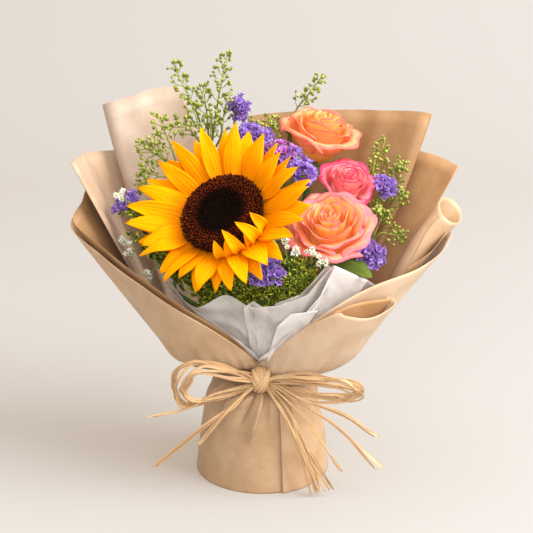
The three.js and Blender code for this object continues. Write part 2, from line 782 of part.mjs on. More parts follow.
function rosePetals(size, rings) {
  const core = new THREE.LatheGeometry(asProfile(CORE_SHAPE).map((p) => p.multiplyScalar(size)), 8);
  const petals = rings.flatMap(({ count, start, width, rim, top, base, flare, wave }, ring) => (
    Array.from({ length: count }, (_, k) => rosePetal(size, {
      at: start + (360 * k) / count,
      width,
      rim: rim * size,
      top: (top - (k % 2) * 0.03) * size,
      base: base * size,
      flare: flare * size,
      wave: wave * size * (ring < 2 ? 1 : 0.5),
    }))
  ));
  return fuse([welded(core.rotateX(Math.PI / 2)), ...petals]);
}
const BUD_RINGS = [
  { count: 2, start: 20, width: 150, rim: 0.15, top: 0.43, base: 0.12, flare: 0, wave: 0.02 },
  { count: 3, start: 75, width: 122, rim: 0.35, top: 0.42, base: 0.24, flare: 0.02, wave: 0.03 },
];
const ROSES = [
  {
    name: 'rose_front',
    colour: 'peach',
    size: 37,
    centre: V(55.5, -30, 232),
    facing: V(-0.12, -0.6, 0.79),
    place: slot(INNER_SLOT_RADIUS, 60),
    rings: [
      ...BUD_RINGS,
      { count: 4, start: 50, width: 96, rim: 0.6, top: 0.33, base: 0.35, flare: 0.06, wave: 0.04 },
      { count: 5, start: 18, width: 80, rim: 0.86, top: 0.08, base: 0.44, flare: 0.14, wave: 0.05 },
    ],
    leaves: [V(1.06, -1.0, -0.52)],
  },
  {
    name: 'rose_top',
    colour: 'orange',
    size: 35,
    centre: V(51.3, 62, 289),
    facing: V(0.2, -0.12, 0.97),
    place: slot(BETWEEN_SLOT_RADIUS, 137),
    rings: [
      ...BUD_RINGS,
      { count: 3, start: 20, width: 124, rim: 0.6, top: 0.32, base: 0.35, flare: 0.08, wave: 0.04 },
      { count: 5, start: 60, width: 80, rim: 0.84, top: 0.1, base: 0.44, flare: 0.2, wave: 0.05 },
    ],
    leaves: [],
  },
  {
    name: 'rose_pink',
    colour: 'pink',
    size: 26,
    centre: V(72.5, 22, 254),
    facing: V(0.25, -0.5, 0.82),
    place: slot(INNER_SLOT_RADIUS, 111),
    rings: [
      ...BUD_RINGS,
      { count: 5, start: 40, width: 82, rim: 0.8, top: 0.16, base: 0.4, flare: 0.14, wave: 0.06 },
    ],
    leaves: [],
  },
];
for (const rose of ROSES) {
  const frame = bloomFrame(rose.centre, rose.facing);
  const local = (x, y, z) => V(x, y, z).multiplyScalar(rose.size).applyMatrix4(frame);
  const out = rose.facing.clone().normalize();
  add(`${rose.name}_petals`, rosePetals(rose.size, rose.rings).applyMatrix4(frame), rose.colour);
  const bottom = -0.82 * rose.size - SEAT;
  const cup = new THREE.LatheGeometry(asProfile([
    [0, bottom - 7],
    [2.4, bottom - 7],
    [4.4, bottom - 4],
    [3.4, bottom],
    [0, bottom],
  ]), 8);
  const sepals = Array.from({ length: 5 }, (_, i) => {
    const turn = rad(30 + 72 * i);
    const at = (radius, height) => {
      const point = V(radius * Math.cos(turn), radius * Math.sin(turn), height);
      return point.applyMatrix4(frame);
    };
    return blade([at(1, bottom - 4), at(9, bottom - 5), at(19, bottom - 9)], [0, 3, 0], out, 1);
  });
  const leaves = rose.leaves.map(({ x, y, z }) => (
    leaf(local(0, 0, -1.05), local(x, y, z), 1.5, 9, V(0, -0.4, 0.9))
  ));
  const head = V(0, 0, bottom - 5).applyMatrix4(frame);
  const stem = rod(stemLine(rose.place, head, out, BUD_REACH), ROSE_STEM, 4);
  const seat = welded(cup.rotateX(Math.PI / 2)).applyMatrix4(frame);
  add(`${rose.name}_stem`, fuse([seat, ...sepals, ...leaves, stem]), 'leaf');
}

// Statice: each head is a cluster of flared florets on a smaller core, seated on its green branch.
function staticeHead(centre, facing, [wide, deep], count, seed) {
  const draw = seeded(seed);
  const frame = bloomFrame(centre, facing);
  const core = welded(new THREE.OctahedronGeometry(1, 0).scale(0.78 * wide, 0.78 * wide, 0.7 * deep));
  const florets = Array.from({ length: count }, (_, i) => {
    const height = 1 - (1.35 * (i + 0.5)) / count;
    const around = i * GOLDEN_ANGLE + 0.4 * draw();
    const flat = Math.sqrt(1 - height * height);
    const way = V(flat * Math.cos(around), flat * Math.sin(around), height);
    const at = V(way.x * wide, way.y * wide, way.z * deep).multiplyScalar(0.86 + 0.2 * draw());
    return floret(at, way.clone().add(V(0, 0, 0.35)), 3.6 + 0.8 * draw(), 4);
  });
  return fuse([core, ...florets]).applyMatrix4(frame);
}
const STATICE = [
  {
    name: 'statice_top',
    place: slot(INNER_SLOT_RADIUS + 0.2, -140),
    fork: V(-9, 28, 262),
    heads: [
      {
        name: 'statice_top_tip',
        colour: 'violet',
        centre: V(-20, 45, 310),
        facing: V(0.35, -0.1, 0.94),
        size: [8, 11],
        count: 10,
      },
      {
        name: 'statice_top_head',
        colour: 'violet',
        centre: V(-4, 37, 290),
        facing: V(0.2, -0.4, 0.9),
        size: [13, 9],
        count: 10,
      },
    ],
  },
  {
    name: 'statice_middle',
    place: slot(INNER_SLOT_RADIUS, 163),
    fork: V(17, 14, 246),
    heads: [
      {
        name: 'statice_magenta_head',
        colour: 'magenta',
        centre: V(13, 20, 279),
        facing: V(0.1, -0.4, 0.9),
        size: [13, 8],
        count: 10,
      },
      {
        name: 'statice_middle_head',
        colour: 'violet',
        centre: V(30, 5, 268),
        facing: V(0.3, -0.5, 0.8),
        size: [13, 9],
        count: 10,
      },
    ],
  },
  {
    name: 'statice_left',
    place: slot(OUTER_SLOT_RADIUS, -91),
    fork: null,
    heads: [
      {
        name: 'statice_left_head',
        colour: 'violet',
        centre: V(-117, 6, 246),
        facing: V(-0.4, -0.5, 0.75),
        size: [10, 7],
        count: 10,
      },
    ],
  },
  {
    name: 'statice_low',
    place: slot(OUTER_SLOT_RADIUS, 8),
    fork: null,
    heads: [
      {
        name: 'statice_low_head',
        colour: 'violet',
        centre: V(4, -62, 203),
        facing: V(0, -0.75, 0.65),
        size: [12, 9],
        count: 10,
      },
    ],
  },
  {
    name: 'statice_right',
    place: slot(OUTER_SLOT_RADIUS, 60),
    fork: V(80, -4, 196),
    heads: [
      {
        name: 'statice_right_head',
        colour: 'violet',
        centre: V(104, 30, 247),
        facing: V(0.3, -0.6, 0.75),
        size: [9, 8],
        count: 10,
      },
      {
        name: 'statice_low_right_head',
        colour: 'violet',
        centre: V(92, -20, 200),
        facing: V(0.35, -0.75, 0.55),
        size: [11, 9],
        count: 10,
      },
    ],
  },
];
const BRACT_RADIUS = 3.6;
STATICE.forEach(({ name, place, fork, heads }, plant) => {
  const ends = heads.map(({ centre, facing, size }) => {
    const out = facing.clone().normalize();
    return { out, seat: centre.clone().addScaledVector(out, -0.7 * size[1] - SEAT - 0.3) };
  });
  const main = fork ?? ends[0].seat;
  const along = fork ? V(0, 0, 1) : ends[0].out;
  const stem = rod(stemLine(place, main, along, 14), THIN_STEM, 4);
  const branches = ends.flatMap(({ out, seat }) => {
    const side = V(0, 0, 1).cross(out).normalize();
    const up = out.clone().cross(side);
    const ring = Array.from({ length: 4 }, (_, k) => {
      const turn = (Math.PI * k) / 2;
      return seat.clone()
        .addScaledVector(side, BRACT_RADIUS * Math.cos(turn))
        .addScaledVector(up, BRACT_RADIUS * Math.sin(turn));
    });
    const bract = fan([ring], seat.clone().addScaledVector(out, -9), seat.clone().addScaledVector(out, 0.2));
    if (!fork) {
      return [bract];
    }
    const low = fork.clone().add(V(0, 0, -1));
    const joint = [low, fork.clone().lerp(seat, 0.5), seat.clone().addScaledVector(out, -3)];
    return [bract, rod(joint, BRANCH, 4)];
  });
  add(`${name}_stem`, fuse([stem, ...branches]), 'leaf');
  heads.forEach(({ name: head, colour, centre, facing, size, count }, i) => {
    add(head, staticeHead(centre, facing, size, count, 11 * plant + i + 3), colour);
  });
});

// Seed-pod sprays: a stem with twigs that stand round it, each with pods at its tip and along it.
function twigs(from, to, count, length, draw, podSize) {
  const along = to.clone().sub(from).normalize();
  const side = along.clone().cross(V(0, 1, 0)).normalize();
  const up = along.clone().cross(side);
  const shapes = [];
  for (let i = 0; i < count; i += 1) {
    const share = 0.12 + (0.84 * i) / count;
    const around = i * GOLDEN_ANGLE + draw();
    const reach = length * lerp(1.1, 0.45, share) * (0.8 + 0.4 * draw());
    const root = from.clone().lerp(to, share);
    const way = along.clone().multiplyScalar(0.75)
      .addScaledVector(side, Math.cos(around))
      .addScaledVector(up, 0.8 * Math.sin(around))
      .normalize();
    const end = root.clone().addScaledVector(way, reach);
    const across = way.clone().cross(V(0, 1, 0.3)).normalize();
    const over = way.clone().cross(across);
    const rings = [[0.4, 0.6], [0.8, podSize]].map(([at, radius]) => Array.from({ length: 3 }, (_, k) => {
      const turn = (2 * Math.PI * k) / 3;
      return root.clone().addScaledVector(way, at * reach)
        .addScaledVector(across, radius * Math.cos(turn))
        .addScaledVector(over, radius * Math.sin(turn));
    }));
    shapes.push(fan(rings, root, end.clone().addScaledVector(way, podSize * 0.5)));
  }
  shapes.push(pod(to, podSize));
  return shapes;
}
const SPRAYS = [
  {
    name: 'seed_spray_back_left',
    place: slot(OUTER_SLOT_RADIUS - 0.4, -146),
    fork: V(-45, 46, 272),
    stems: [
      [[-55, 46, 306], [-75, 42, 352], 7],
      [[-38, 46, 315], [-29, 42, 361], 7],
      [[-47, 47, 305], [-50, 46, 331], 3],
      [[-58, 42, 290], [-71, 38, 302], 2],
    ],
  },
  {
    name: 'seed_spray_left',
    place: slot(BETWEEN_SLOT_RADIUS - 0.2, -116),
    fork: V(-70, 33, 258),
    stems: [
      [[-76, 32, 278], [-88, 28, 311], 5],
      [[-84, 28, 272], [-103, 20, 287], 4],
      [[-86, 24, 258], [-103, 18, 266], 3],
    ],
  },
  {
    name: 'seed_spray_back_right',
    place: slot(OUTER_SLOT_RADIUS, 163),
    fork: V(24, 95, 280),
    stems: [
      [[30, 98, 298], [53, 98, 329], 7],
      [[16, 90, 285], [8, 84, 292], 2],
    ],
  },
  {
    name: 'seed_spray_right',
    place: slot(OUTER_SLOT_RADIUS, 111),
    fork: V(88, 40, 216),
    stems: [
      [[100, 56, 250], [106, 60, 279], 4],
      [[110, 50, 240], [121, 44, 266], 5],
      [[108, 38, 224], [121, 34, 240], 3],
    ],
  },
  {
    name: 'seed_spray_low_right',
    place: slot(BETWEEN_SLOT_RADIUS, 86),
    fork: V(92, 8, 202),
    stems: [
      [[100, 8, 212], [119, 4, 212], 4],
      [[98, 14, 215], [104, 16, 229], 3],
    ],
  },
  {
    name: 'seed_spray_middle',
    place: slot(BETWEEN_SLOT_RADIUS - 0.2, -175),
    fork: V(-4, 56, 272),
    stems: [
      [[-6, 57, 282], [-10, 60, 297], 2],
      [[2, 58, 282], [10, 60, 294], 2],
    ],
  },
];
const TWIG_LENGTH = 12;
const TWIG_TIP = 0.8;
const POD_SIZE = 2.2;
SPRAYS.forEach(({ name, place, fork, stems }, plant) => {
  const draw = seeded(40 + plant);
  const stem = rod(stemLine(place, fork, V(0, 0, 1), 10), THIN_STEM, 3);
  const shapes = stems.flatMap(([low, high, count]) => {
    const from = V(...low);
    const to = V(...high);
    const line = [fork.clone().add(V(0, 0, -2)), from, from.clone().lerp(to, 0.5), to];
    const taper = (t) => lerp(BRANCH, TWIG_TIP, t);
    return [rod(line, taper, 3), ...twigs(from, to, count, TWIG_LENGTH, draw, POD_SIZE)];
  });
  add(name, fuse([stem, ...shapes]), 'leaf');
});

// Green filler: stems full of small leaves, with white flowers on two of them.
const GREENS = [
  {
    name: 'green_filler_left',
    place: slot(BETWEEN_SLOT_RADIUS, -65),
    fork: V(-72, -22, 182),
    tufts: [[-98, -12, 212], [-88, -30, 196], [-90, 2, 224]],
    whites: [[-117, -8, 252], [-116, -18, 214], [-109, -24, 205], [-94, -36, 190]],
  },
  {
    name: 'green_filler_front_left',
    place: slot(OUTER_SLOT_RADIUS, -43),
    fork: V(-20, -34, 160),
    tufts: [[-42, -40, 188], [-28, -48, 186], [-14, -50, 184], [-16, -44, 194]],
    whites: [],
  },
  {
    name: 'green_filler_front_right',
    place: slot(BETWEEN_SLOT_RADIUS, 34),
    fork: V(26, -38, 166),
    tufts: [[18, -48, 184], [29, -52, 198], [44, -42, 190]],
    whites: [[18, -70, 230], [28, -74, 223], [40, -77, 225], [48, -71, 214]],
  },
];
const WHITE_SIZE = 4.6;
const WHITE_FACING = V(0, -0.7, 0.7);
const TISSUE_RIM = 204;
// Leaf tips stay inside the tissue, which flares about 0.42 mm for each mm of height.
function keptInside(point) {
  const limit = 27 + 0.42 * (point.z - 107);
  const reach = Math.hypot(point.x, point.y);
  if (point.z >= TISSUE_RIM || reach <= limit) {
    return point;
  }
  return point.clone().multiply(V(limit / reach, limit / reach, 1));
}
GREENS.forEach(({ name, place, fork, tufts, whites }, plant) => {
  const draw = seeded(70 + plant);
  const stem = rod(stemLine(place, fork, V(0, 0, 1), 12), THIN_STEM, 3);
  const shapes = tufts.flatMap((point) => {
    const centre = V(...point);
    const branch = rod([fork.clone().add(V(0, 0, -2)), centre], BRANCH, 3);
    const leaves = Array.from({ length: 5 }, (_, i) => {
      const around = i * GOLDEN_ANGLE + 0.6 * draw();
      const lift = 0.15 + 0.7 * draw();
      const flat = Math.cos(lift);
      const way = V(Math.cos(around) * flat, Math.sin(around) * flat, Math.sin(lift));
      const root = fork.clone().lerp(centre, 0.6 + 0.09 * i);
      const tip = keptInside(root.clone().addScaledVector(way, 14 + 4 * draw()));
      return leaflet(root, tip, 3.2, 2);
    });
    return [branch, ...leaves];
  });
  const flowers = whites.flatMap((point) => {
    const at = V(...point);
    const nearest = asPoints(tufts).reduce((a, b) => (a.distanceTo(at) < b.distanceTo(at) ? a : b));
    const line = [nearest, nearest.clone().lerp(at, 0.6).add(V(0, 0, -2)), at];
    return [rod(line, FLOWER_BRANCH, 3), floret(at, WHITE_FACING, WHITE_SIZE, 5)];
  });
  add(name, fuse([stem, ...shapes, ...flowers]), 'moss');
});

const bouquet = new THREE.Group();
bouquet.name = 'mixed_flower_bouquet';
bouquet.add(...parts);
const box = new THREE.Box3().setFromObject(bouquet);
const middle = box.getCenter(new THREE.Vector3());
bouquet.position.set(-middle.x, -middle.y, 0);
export default bouquet;
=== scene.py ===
# Mixed flower bouquet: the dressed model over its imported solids.
# Lengths are millimetres from the foot of the bouquet's axis: x to the right, y to the back, z up.
import math
import random

import bpy
import numpy as np
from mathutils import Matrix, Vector


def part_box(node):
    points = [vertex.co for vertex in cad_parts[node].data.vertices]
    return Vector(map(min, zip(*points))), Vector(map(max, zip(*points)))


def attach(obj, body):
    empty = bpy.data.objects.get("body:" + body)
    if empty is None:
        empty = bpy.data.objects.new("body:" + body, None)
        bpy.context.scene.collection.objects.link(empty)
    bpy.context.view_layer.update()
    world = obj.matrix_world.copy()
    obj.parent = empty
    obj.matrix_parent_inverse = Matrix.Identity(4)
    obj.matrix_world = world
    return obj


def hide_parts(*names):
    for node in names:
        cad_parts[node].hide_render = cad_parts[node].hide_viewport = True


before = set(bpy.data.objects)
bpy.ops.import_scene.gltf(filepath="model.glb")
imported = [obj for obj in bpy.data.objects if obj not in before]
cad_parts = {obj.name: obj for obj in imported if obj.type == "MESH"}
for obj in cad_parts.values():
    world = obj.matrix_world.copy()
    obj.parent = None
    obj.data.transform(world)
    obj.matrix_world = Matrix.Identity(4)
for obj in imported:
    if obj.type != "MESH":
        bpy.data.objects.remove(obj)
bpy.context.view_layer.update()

MM = 0.001
# The axis runs through the middle of the raffia band
band_low, band_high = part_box("raffia_band")
AXIS = np.array([(band_low.x + band_high.x) / 2, (band_low.y + band_high.y) / 2, 0.0]) / MM
UP = np.array([0, 0, 1.0])
GOLDEN_ANGLE = math.radians(137.50776)
TURN = 2 * np.pi

# View of the photograph
IMAGE = 533
FOCAL_PIXELS = 1470
VIEW_TARGET = (3.8, 0.0, 185.3)
VIEW_DISTANCE = 1250.0
VIEW_ELEVATION = math.radians(19)
SENSOR = 36.0

# Tie and wrap, as in the part's source
TIE_BOTTOM = 88.0
TIE_MIDDLE = 96
BEND_HEIGHT = 100.0
LAYER_STEP = 1.25
OUTER_LAYER = 5
INNER_KRAFT_RADIUS = 18.0
INNER_TISSUE_RADIUS = 15.2
INNER_TISSUE_LAYER = -3
TISSUE_STEP = 0.9
SLEEVE_NECK_RADIUS = 24.3
SLEEVE_TOP = 95.0
SLEEVE_LAP = 1.4

# Thicknesses
PAPER, SHADE_SHEET_PAPER, SLEEVE_PAPER = 0.5, 0.3, 0.6
TISSUE_PAPER, FOLD_PAPER = 0.2, 0.15
RAY_PETAL, ROSE_PETAL, FIBRE = 0.35, 0.3, 0.3


# Points and lines
def metres(points):
    return (np.asarray(points, float) + AXIS) * MM


def unit(vectors):
    vectors = np.asarray(vectors, float)
    return vectors / np.maximum(np.linalg.norm(vectors, axis=-1, keepdims=True), 1e-9)


def blend(start, end, share):
    return start + (end - start) * share


def smooth(value, low=0.0, high=1.0):
    """Rises softly from 0 at low to 1 at high."""
    share = np.clip((np.asarray(value, float) - low) / (high - low), 0, 1)
    return share * share * (3 - 2 * share)


def polar(radius, degrees, height):
    """A point round the axis: 0 degrees is the front and 90 the right."""
    turn = np.radians(degrees)
    return np.stack(np.broadcast_arrays(radius * np.sin(turn), -radius * np.cos(turn), height), -1)


def spline(points, count):
    """A smooth line through given points, evenly spaced along its length."""
    points = np.asarray(points, float)
    ends = np.vstack([2 * points[0] - points[1], points, 2 * points[-1] - points[-2]])
    dense = []
    for a, b, c, d in zip(ends, ends[1:], ends[2:], ends[3:]):
        for t in np.linspace(0, 1, 12, endpoint=False):
            curve = (2 * a - 5 * b + 4 * c - d) * t**2 + (3 * b - a - 3 * c + d) * t**3
            dense.append(0.5 * (2 * b + (c - a) * t + curve))
    dense = np.array([*dense, points[-1]])
    steps = np.r_[0, np.cumsum(np.linalg.norm(np.diff(dense, axis=0), axis=1))]
    at = np.linspace(0, steps[-1], count)
    return np.stack([np.interp(at, steps, column) for column in dense.T], -1)


def heading(line):
    return unit(np.gradient(line, axis=0))


def ripple(angle, waves, seed):
    """A smooth unevenness round a full turn of degrees, between about -1 and 1."""
    draw = random.Random(seed)
    return sum(np.sin(np.radians(angle) * wave + draw.uniform(0, 6.28)) for wave in waves) / len(waves)


def seeded(name):
    return np.random.default_rng(sum(map(ord, name)))


def spiral(count):
    """A sunflower's spiral: each step's share of the way and its direction round the third axis."""
    order = np.arange(count) + 0.5
    turn = order * GOLDEN_ANGLE
    return order / count, np.stack([np.cos(turn), np.sin(turn), np.zeros(count)], -1)


def round_steps(count):
    return np.linspace(0, TURN, count, endpoint=False)


def circle(angles, side, over):
    """Points at one millimetre from each centre, in the plane of its side and over directions."""
    return np.cos(angles)[..., None] * side[:, None] + np.sin(angles)[..., None] * over[:, None]


def lathe(profile, sides):
    """Rings round the third axis, one for each radius and height of a profile."""
    profile = np.asarray(profile, float)
    turn = round_steps(sides)
    radius, height = profile[:, :1], np.repeat(profile[:, 1:], sides, 1)
    return np.stack([radius * np.cos(turn), radius * np.sin(turn), height], -1)


# Meshes
def link(name, data):
    """A new object in the scene."""
    made = bpy.data.objects.new(name, data)
    bpy.context.scene.collection.objects.link(made)
    return made


def quads(rows, columns, closed=True):
    """Faces between rows of points that follow each other, where closed rows are rings."""
    index = np.arange(rows * columns).reshape(rows, columns)
    if closed:
        index = np.hstack([index, index[:, :1]])
    return np.stack([index[:-1, :-1], index[:-1, 1:], index[1:, 1:], index[1:, :-1]], -1).reshape(-1, 4)


class Shape:
    """Collects faces, with the (along, across, tone) of each point for its material."""

    def __init__(self):
        self.points, self.faces, self.marks = [], [], []
        self.count = 0

    def add(self, points, faces, marks):
        self.faces += (faces + self.count).tolist()
        self.points.append(points.reshape(-1, 3))
        self.marks.append(marks.reshape(-1, 3))
        self.count += len(self.points[-1])

    def grid(self, points, tone=0.5, closed=False):
        """A sheet over rows and columns of points."""
        points = np.asarray(points, float)
        rows, columns = points.shape[:2]
        along, across = np.meshgrid(np.linspace(0, 1, rows), np.linspace(0, 1, columns), indexing="ij")
        marks = np.stack([along, across, np.full_like(along, tone)], -1)
        self.add(points, quads(rows, columns, closed), marks)

    def many(self, points, faces, tones, along, across=0.0):
        """The same small mesh many times: points is (copies, vertices, 3)."""
        copies, size = points.shape[:2]
        marks = np.zeros((copies, size, 3))
        marks[..., 0] = along
        marks[..., 1] = across
        marks[..., 2] = np.reshape(tones, (-1, 1))
        shift = size * np.arange(copies).reshape(-1, 1, 1)
        self.add(points, (np.asarray(faces) + shift).reshape(-1, len(faces[0])), marks)

    def make(self, name, material, slot, solid, thickness=0.0):
        """The piece itself, which stands in for one solid of the part or joins others that do."""
        mesh = bpy.data.meshes.new(name)
        mesh.from_pydata(metres(np.vstack(self.points)).tolist(), [], self.faces)
        marks = np.insert(np.vstack(self.marks), 3, 1.0, axis=1).astype(np.float32)
        mesh.color_attributes.new("marks", "FLOAT_COLOR", "POINT").data.foreach_set("color", marks.ravel())
        mesh.materials.append(material)
        mesh.shade_smooth()
        piece = link(name, mesh)
        if thickness:
            thicken = piece.modifiers.new("thickness", "SOLIDIFY")
            thicken.thickness = thickness * MM
            thicken.offset = 0
        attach(piece, "root")
        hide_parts(solid)


def make_piece(points, *labels):
    """A piece that is one sheet."""
    shape = Shape()
    shape.grid(points)
    shape.make(*labels)


def tube(shape, line, radius, sides, tone):
    """A round stem along a line, closed at both ends."""
    line = np.asarray(line, float)
    turn = round_steps(sides)[:, None]
    way = heading(line)
    side = np.cross(way[0], [0.31, 0.95, 0.05])
    rings = [np.repeat(line[:1], sides, 0)]
    for point, size, along in zip(line, np.broadcast_to(radius, len(line)), way):
        side = side - along * side.dot(along)
        side = side / np.linalg.norm(side)
        rings.append(point + size * (np.cos(turn) * side + np.sin(turn) * np.cross(along, side)))
    rings.append(np.repeat(line[-1:], sides, 0))
    shape.grid(rings, tone, closed=True)


def leaf_grid(line, half, hint, columns=5, cup=0.0, fold=0.0, wave=0.0, waves=3, grooves=0.0):
    """A petal or leaf on a line: cupped, folded at its rib, waved at its edge, grooved lengthwise."""
    along = heading(line)
    side = unit(np.cross(along, hint))
    face = unit(np.cross(side, along))
    half = np.asarray(half)[:, None]
    across = np.linspace(-1, 1, columns)[None]
    share = np.linspace(0, 1, len(line))[:, None]
    lift = cup * across**2 * half + fold * np.abs(across) * half
    lift = lift + wave * across**2 * np.sin(waves * TURN * share + across)
    lift = lift + grooves * np.cos(RAY_GROOVES * np.pi * across) * np.sin(np.pi * share) ** 0.5
    return line[:, None] + side[:, None] * (half * across)[..., None] + face[:, None] * lift[..., None]


# Materials
BLACK, CLEAN = (0, 0, 0), (1, 1, 1)


class Look:
    """A material, with short ways to add its nodes."""

    def __init__(self, name, colour, roughness=0.6, specular=0.4, sheen=0.0):
        self.made = bpy.data.materials.new(name)
        self.made.use_nodes = True
        self.nodes, self.links = self.made.node_tree.nodes, self.made.node_tree.links
        self.shader = self.nodes["Principled BSDF"]
        self.surface = self.shader.outputs[0]
        self.fill(self.shader, {"Base Color": colour, "Roughness": roughness,
                                "Specular IOR Level": specular, "Sheen Weight": sheen})

    def fill(self, made, sockets):
        """Sets each socket to a value, or links it to another node's output."""
        for place, value in sockets.items():
            socket = made.inputs[place]
            if isinstance(value, bpy.types.NodeSocket):
                self.links.new(value, socket)
            else:
                socket.default_value = (*value, 1) if socket.type == "RGBA" else value

    def add(self, kind, sockets=None, **settings):
        """A new node's outputs."""
        made = self.nodes.new("ShaderNode" + kind)
        for key, value in settings.items():
            setattr(made, key, value)
        self.fill(made, sockets or {})
        return made.outputs

    def marks(self):
        """The along, across and tone of each point."""
        stored = self.add("VertexColor", layer_name="marks")["Color"]
        return self.add("SeparateColor", {0: stored})[:3]

    def where(self, stretch):
        """The place on the bouquet in metres, stretched along each axis."""
        place = self.add("TexCoord")["Object"]
        return self.add("Mapping", {"Vector": place, "Scale": stretch})["Vector"] if stretch else place

    def noise(self, scale, detail, stretch=None):
        sockets = {"Vector": self.where(stretch), "Scale": scale, "Detail": detail}
        return self.add("TexNoise", sockets)["Fac"]

    def crumple(self, scale, stretch):
        """Flat facets with sharp ridges between them, as in crumpled thin paper."""
        sockets = {"Vector": self.where(stretch), "Scale": scale, "Smoothness": 0.12}
        return self.add("TexVoronoi", sockets, feature="SMOOTH_F1")["Distance"]

    def maths(self, kind, a, b=0.0):
        return self.add("Math", {0: a, 1: b}, operation=kind)[0]

    def plus(self, a, b):
        return self.maths("ADD", a, b)

    def times(self, a, b):
        return self.maths("MULTIPLY", a, b)

    def mix(self, kind, factor, a, b):
        return self.add("Mix", {0: factor, 6: a, 7: b}, data_type="RGBA", blend_type=kind)[2]

    def ramp(self, source, *stops):
        """Colours that follow a source: each stop is its value and the colour there."""
        made = self.nodes.new("ShaderNodeValToRGB")
        made.color_ramp.interpolation = "EASE"
        elements = made.color_ramp.elements
        while len(elements) < len(stops):
            elements.new(0.5)
        for element, (place, colour) in zip(elements, stops):
            element.position = place
            element.color = (*colour, 1)
        self.fill(made, {"Fac": source})
        return made.outputs["Color"]

    def rise(self, source, low, high, top=1.0):
        """A share that rises from nothing at low to top at high."""
        return self.ramp(source, (low, BLACK), (high, (top, top, top)))

    def shade(self, base, amount, source, low, colour, high):
        """Darkens the base by a colour where the source is low."""
        return self.mix("MULTIPLY", amount, base, self.ramp(source, (low, colour), (high, CLEAN)))

    def cover(self, share, other):
        """Mixes another surface into this one."""
        self.surface = self.add("MixShader", {"Fac": share, 1: self.surface, 2: other})[0]
        self.fill(self.nodes["Material Output"], {"Surface": self.surface})

    def finish(self, base, glow=0.0, height=None, strength=0.0, depth=0.0, through=None):
        """Gives the colour, the relief, and the glow of thin things where light comes from behind."""
        self.fill(self.shader, {"Base Color": base})
        if height:
            relief = self.add("Bump", {"Height": height, "Strength": strength, "Distance": depth * MM})
            self.fill(self.shader, {"Normal": relief["Normal"]})
        if glow:
            self.cover(glow, self.add("BsdfTranslucent", {"Color": through or base})[0])
        return self.made


def kraft_material(name, dark, light, glow):
    look = Look(name, light, roughness=0.5, sheen=0.1)
    pulp, specks = look.noise(45, 5), look.noise(2100, 2)
    flecks, hairs = look.noise(900, 3, (1, 1, 0.16)), look.noise(900, 3, (0.14, 0.5, 1))
    base = look.ramp(pulp, (0.3, dark), (0.7, light))
    base = look.shade(base, 0.42, flecks, 0.30, (0.80, 0.70, 0.58), 0.42)
    base = look.shade(base, 0.42, hairs, 0.28, (0.84, 0.76, 0.66), 0.40)
    base = look.shade(base, 0.42, specks, 0.27, (0.62, 0.50, 0.38), 0.34)
    height = look.plus(look.times(flecks, 0.25), look.times(pulp, 1.5))
    through = look.mix("MULTIPLY", 1.0, base, (1.0, 0.78, 0.50))
    return look.finish(base, glow, height, 0.30, 0.4, through)


def tissue_material(name, dark, light, clear_share, glow):
    """Thin tissue, clearer towards its rim."""
    look = Look(name, light, roughness=0.42, specular=0.5)
    base = look.ramp(look.noise(40, 4), (0.3, dark), (0.7, light))
    wide, fine = look.crumple(32, (1, 1, 0.55)), look.crumple(110, (1, 1, 0.5))
    look.finish(base, glow, look.plus(look.times(wide, 2.2), look.times(fine, 0.8)), 0.55, 1.6)
    look.cover(look.rise(look.marks()[1], 0.4, 0.8, clear_share), look.add("BsdfTransparent")[0])
    return look.made


def raffia_material():
    look = Look("raffia", (0.70, 0.50, 0.27), roughness=0.42, specular=0.55, sheen=0.1)
    _, across, tone = look.marks()
    stripe = {"W": look.plus(across, look.times(tone, 37.0)), "Scale": 9.0, "Detail": 5.0}
    fibres = look.add("TexNoise", stripe, noise_dimensions="1D")["Fac"]
    base = look.ramp(fibres, (0.3, (0.50, 0.28, 0.12)), (0.5, (0.78, 0.51, 0.26)),
                     (0.7, (0.98, 0.75, 0.47)))
    base = look.shade(base, 0.8, tone, 0, (0.78, 0.69, 0.58), 1)
    return look.finish(base, 0.25, fibres, 0.6, 0.4)


def rimmed(look, base, along, across, tone, colour, start, end):
    """A petal's rim in its own colour: far along, or far to one side."""
    away = look.maths("ABSOLUTE", look.maths("SUBTRACT", across, 0.5))
    edge = look.plus(look.maths("MAXIMUM", along, look.times(away, 1.98)), look.times(tone, 0.12))
    uneven = look.times(look.maths("SUBTRACT", look.noise(110, 2), 0.5), 0.22)
    return look.mix("MIX", look.rise(look.plus(edge, uneven), start, end), base, colour)


def petal_material(name, stops, veins, depth, vein, glow, shine=0.2, rim=None, outer=None, lift=0.0):
    """A petal's colour runs from its foot to its tip, and a rose's outer petals have their own."""
    look = Look(name, stops[-1][1], specular=shine)
    along, across, tone = look.marks()
    base = look.ramp(along, *stops)
    if outer:
        base = look.mix("MIX", look.rise(tone, 0.35, 0.9), base, outer)
    if rim:
        base = rimmed(look, base, along, across, tone, *rim)
    down = look.plus(look.times(along, 1.6), look.times(tone, 61.0))
    place = look.add("CombineXYZ", {0: look.times(across, float(veins)), 1: down})[0]
    pattern = {"Vector": place, "Scale": 1.0, "Detail": 3.0}
    lines = look.add("TexNoise", pattern, noise_dimensions="2D")["Fac"]
    base = look.shade(base, 0.5, lines, 0.33, vein, 0.6)
    # Painted glow: an emission of the petal's middle colour, as strong as lift, stands in for light that
    # scatters through the petals.
    look.fill(look.shader, {"Emission Color": stops[1][1], "Emission Strength": lift})
    return look.finish(base, glow, lines, 0.5, depth)


def rose_material(name, foot, middle, tip, rim, outer, lift):
    stops = [(0, foot), (0.5, middle), (1, tip)]
    return petal_material(name, stops, 9, 0.3, (0.86, 0.78, 0.74), 0.5, rim=rim, outer=outer, lift=lift)


def statice_material(name, foot, middle, tip, vein):
    return petal_material(name, [(0, foot), (0.5, middle), (1, tip)], 5, 0.3, vein, 0.35)


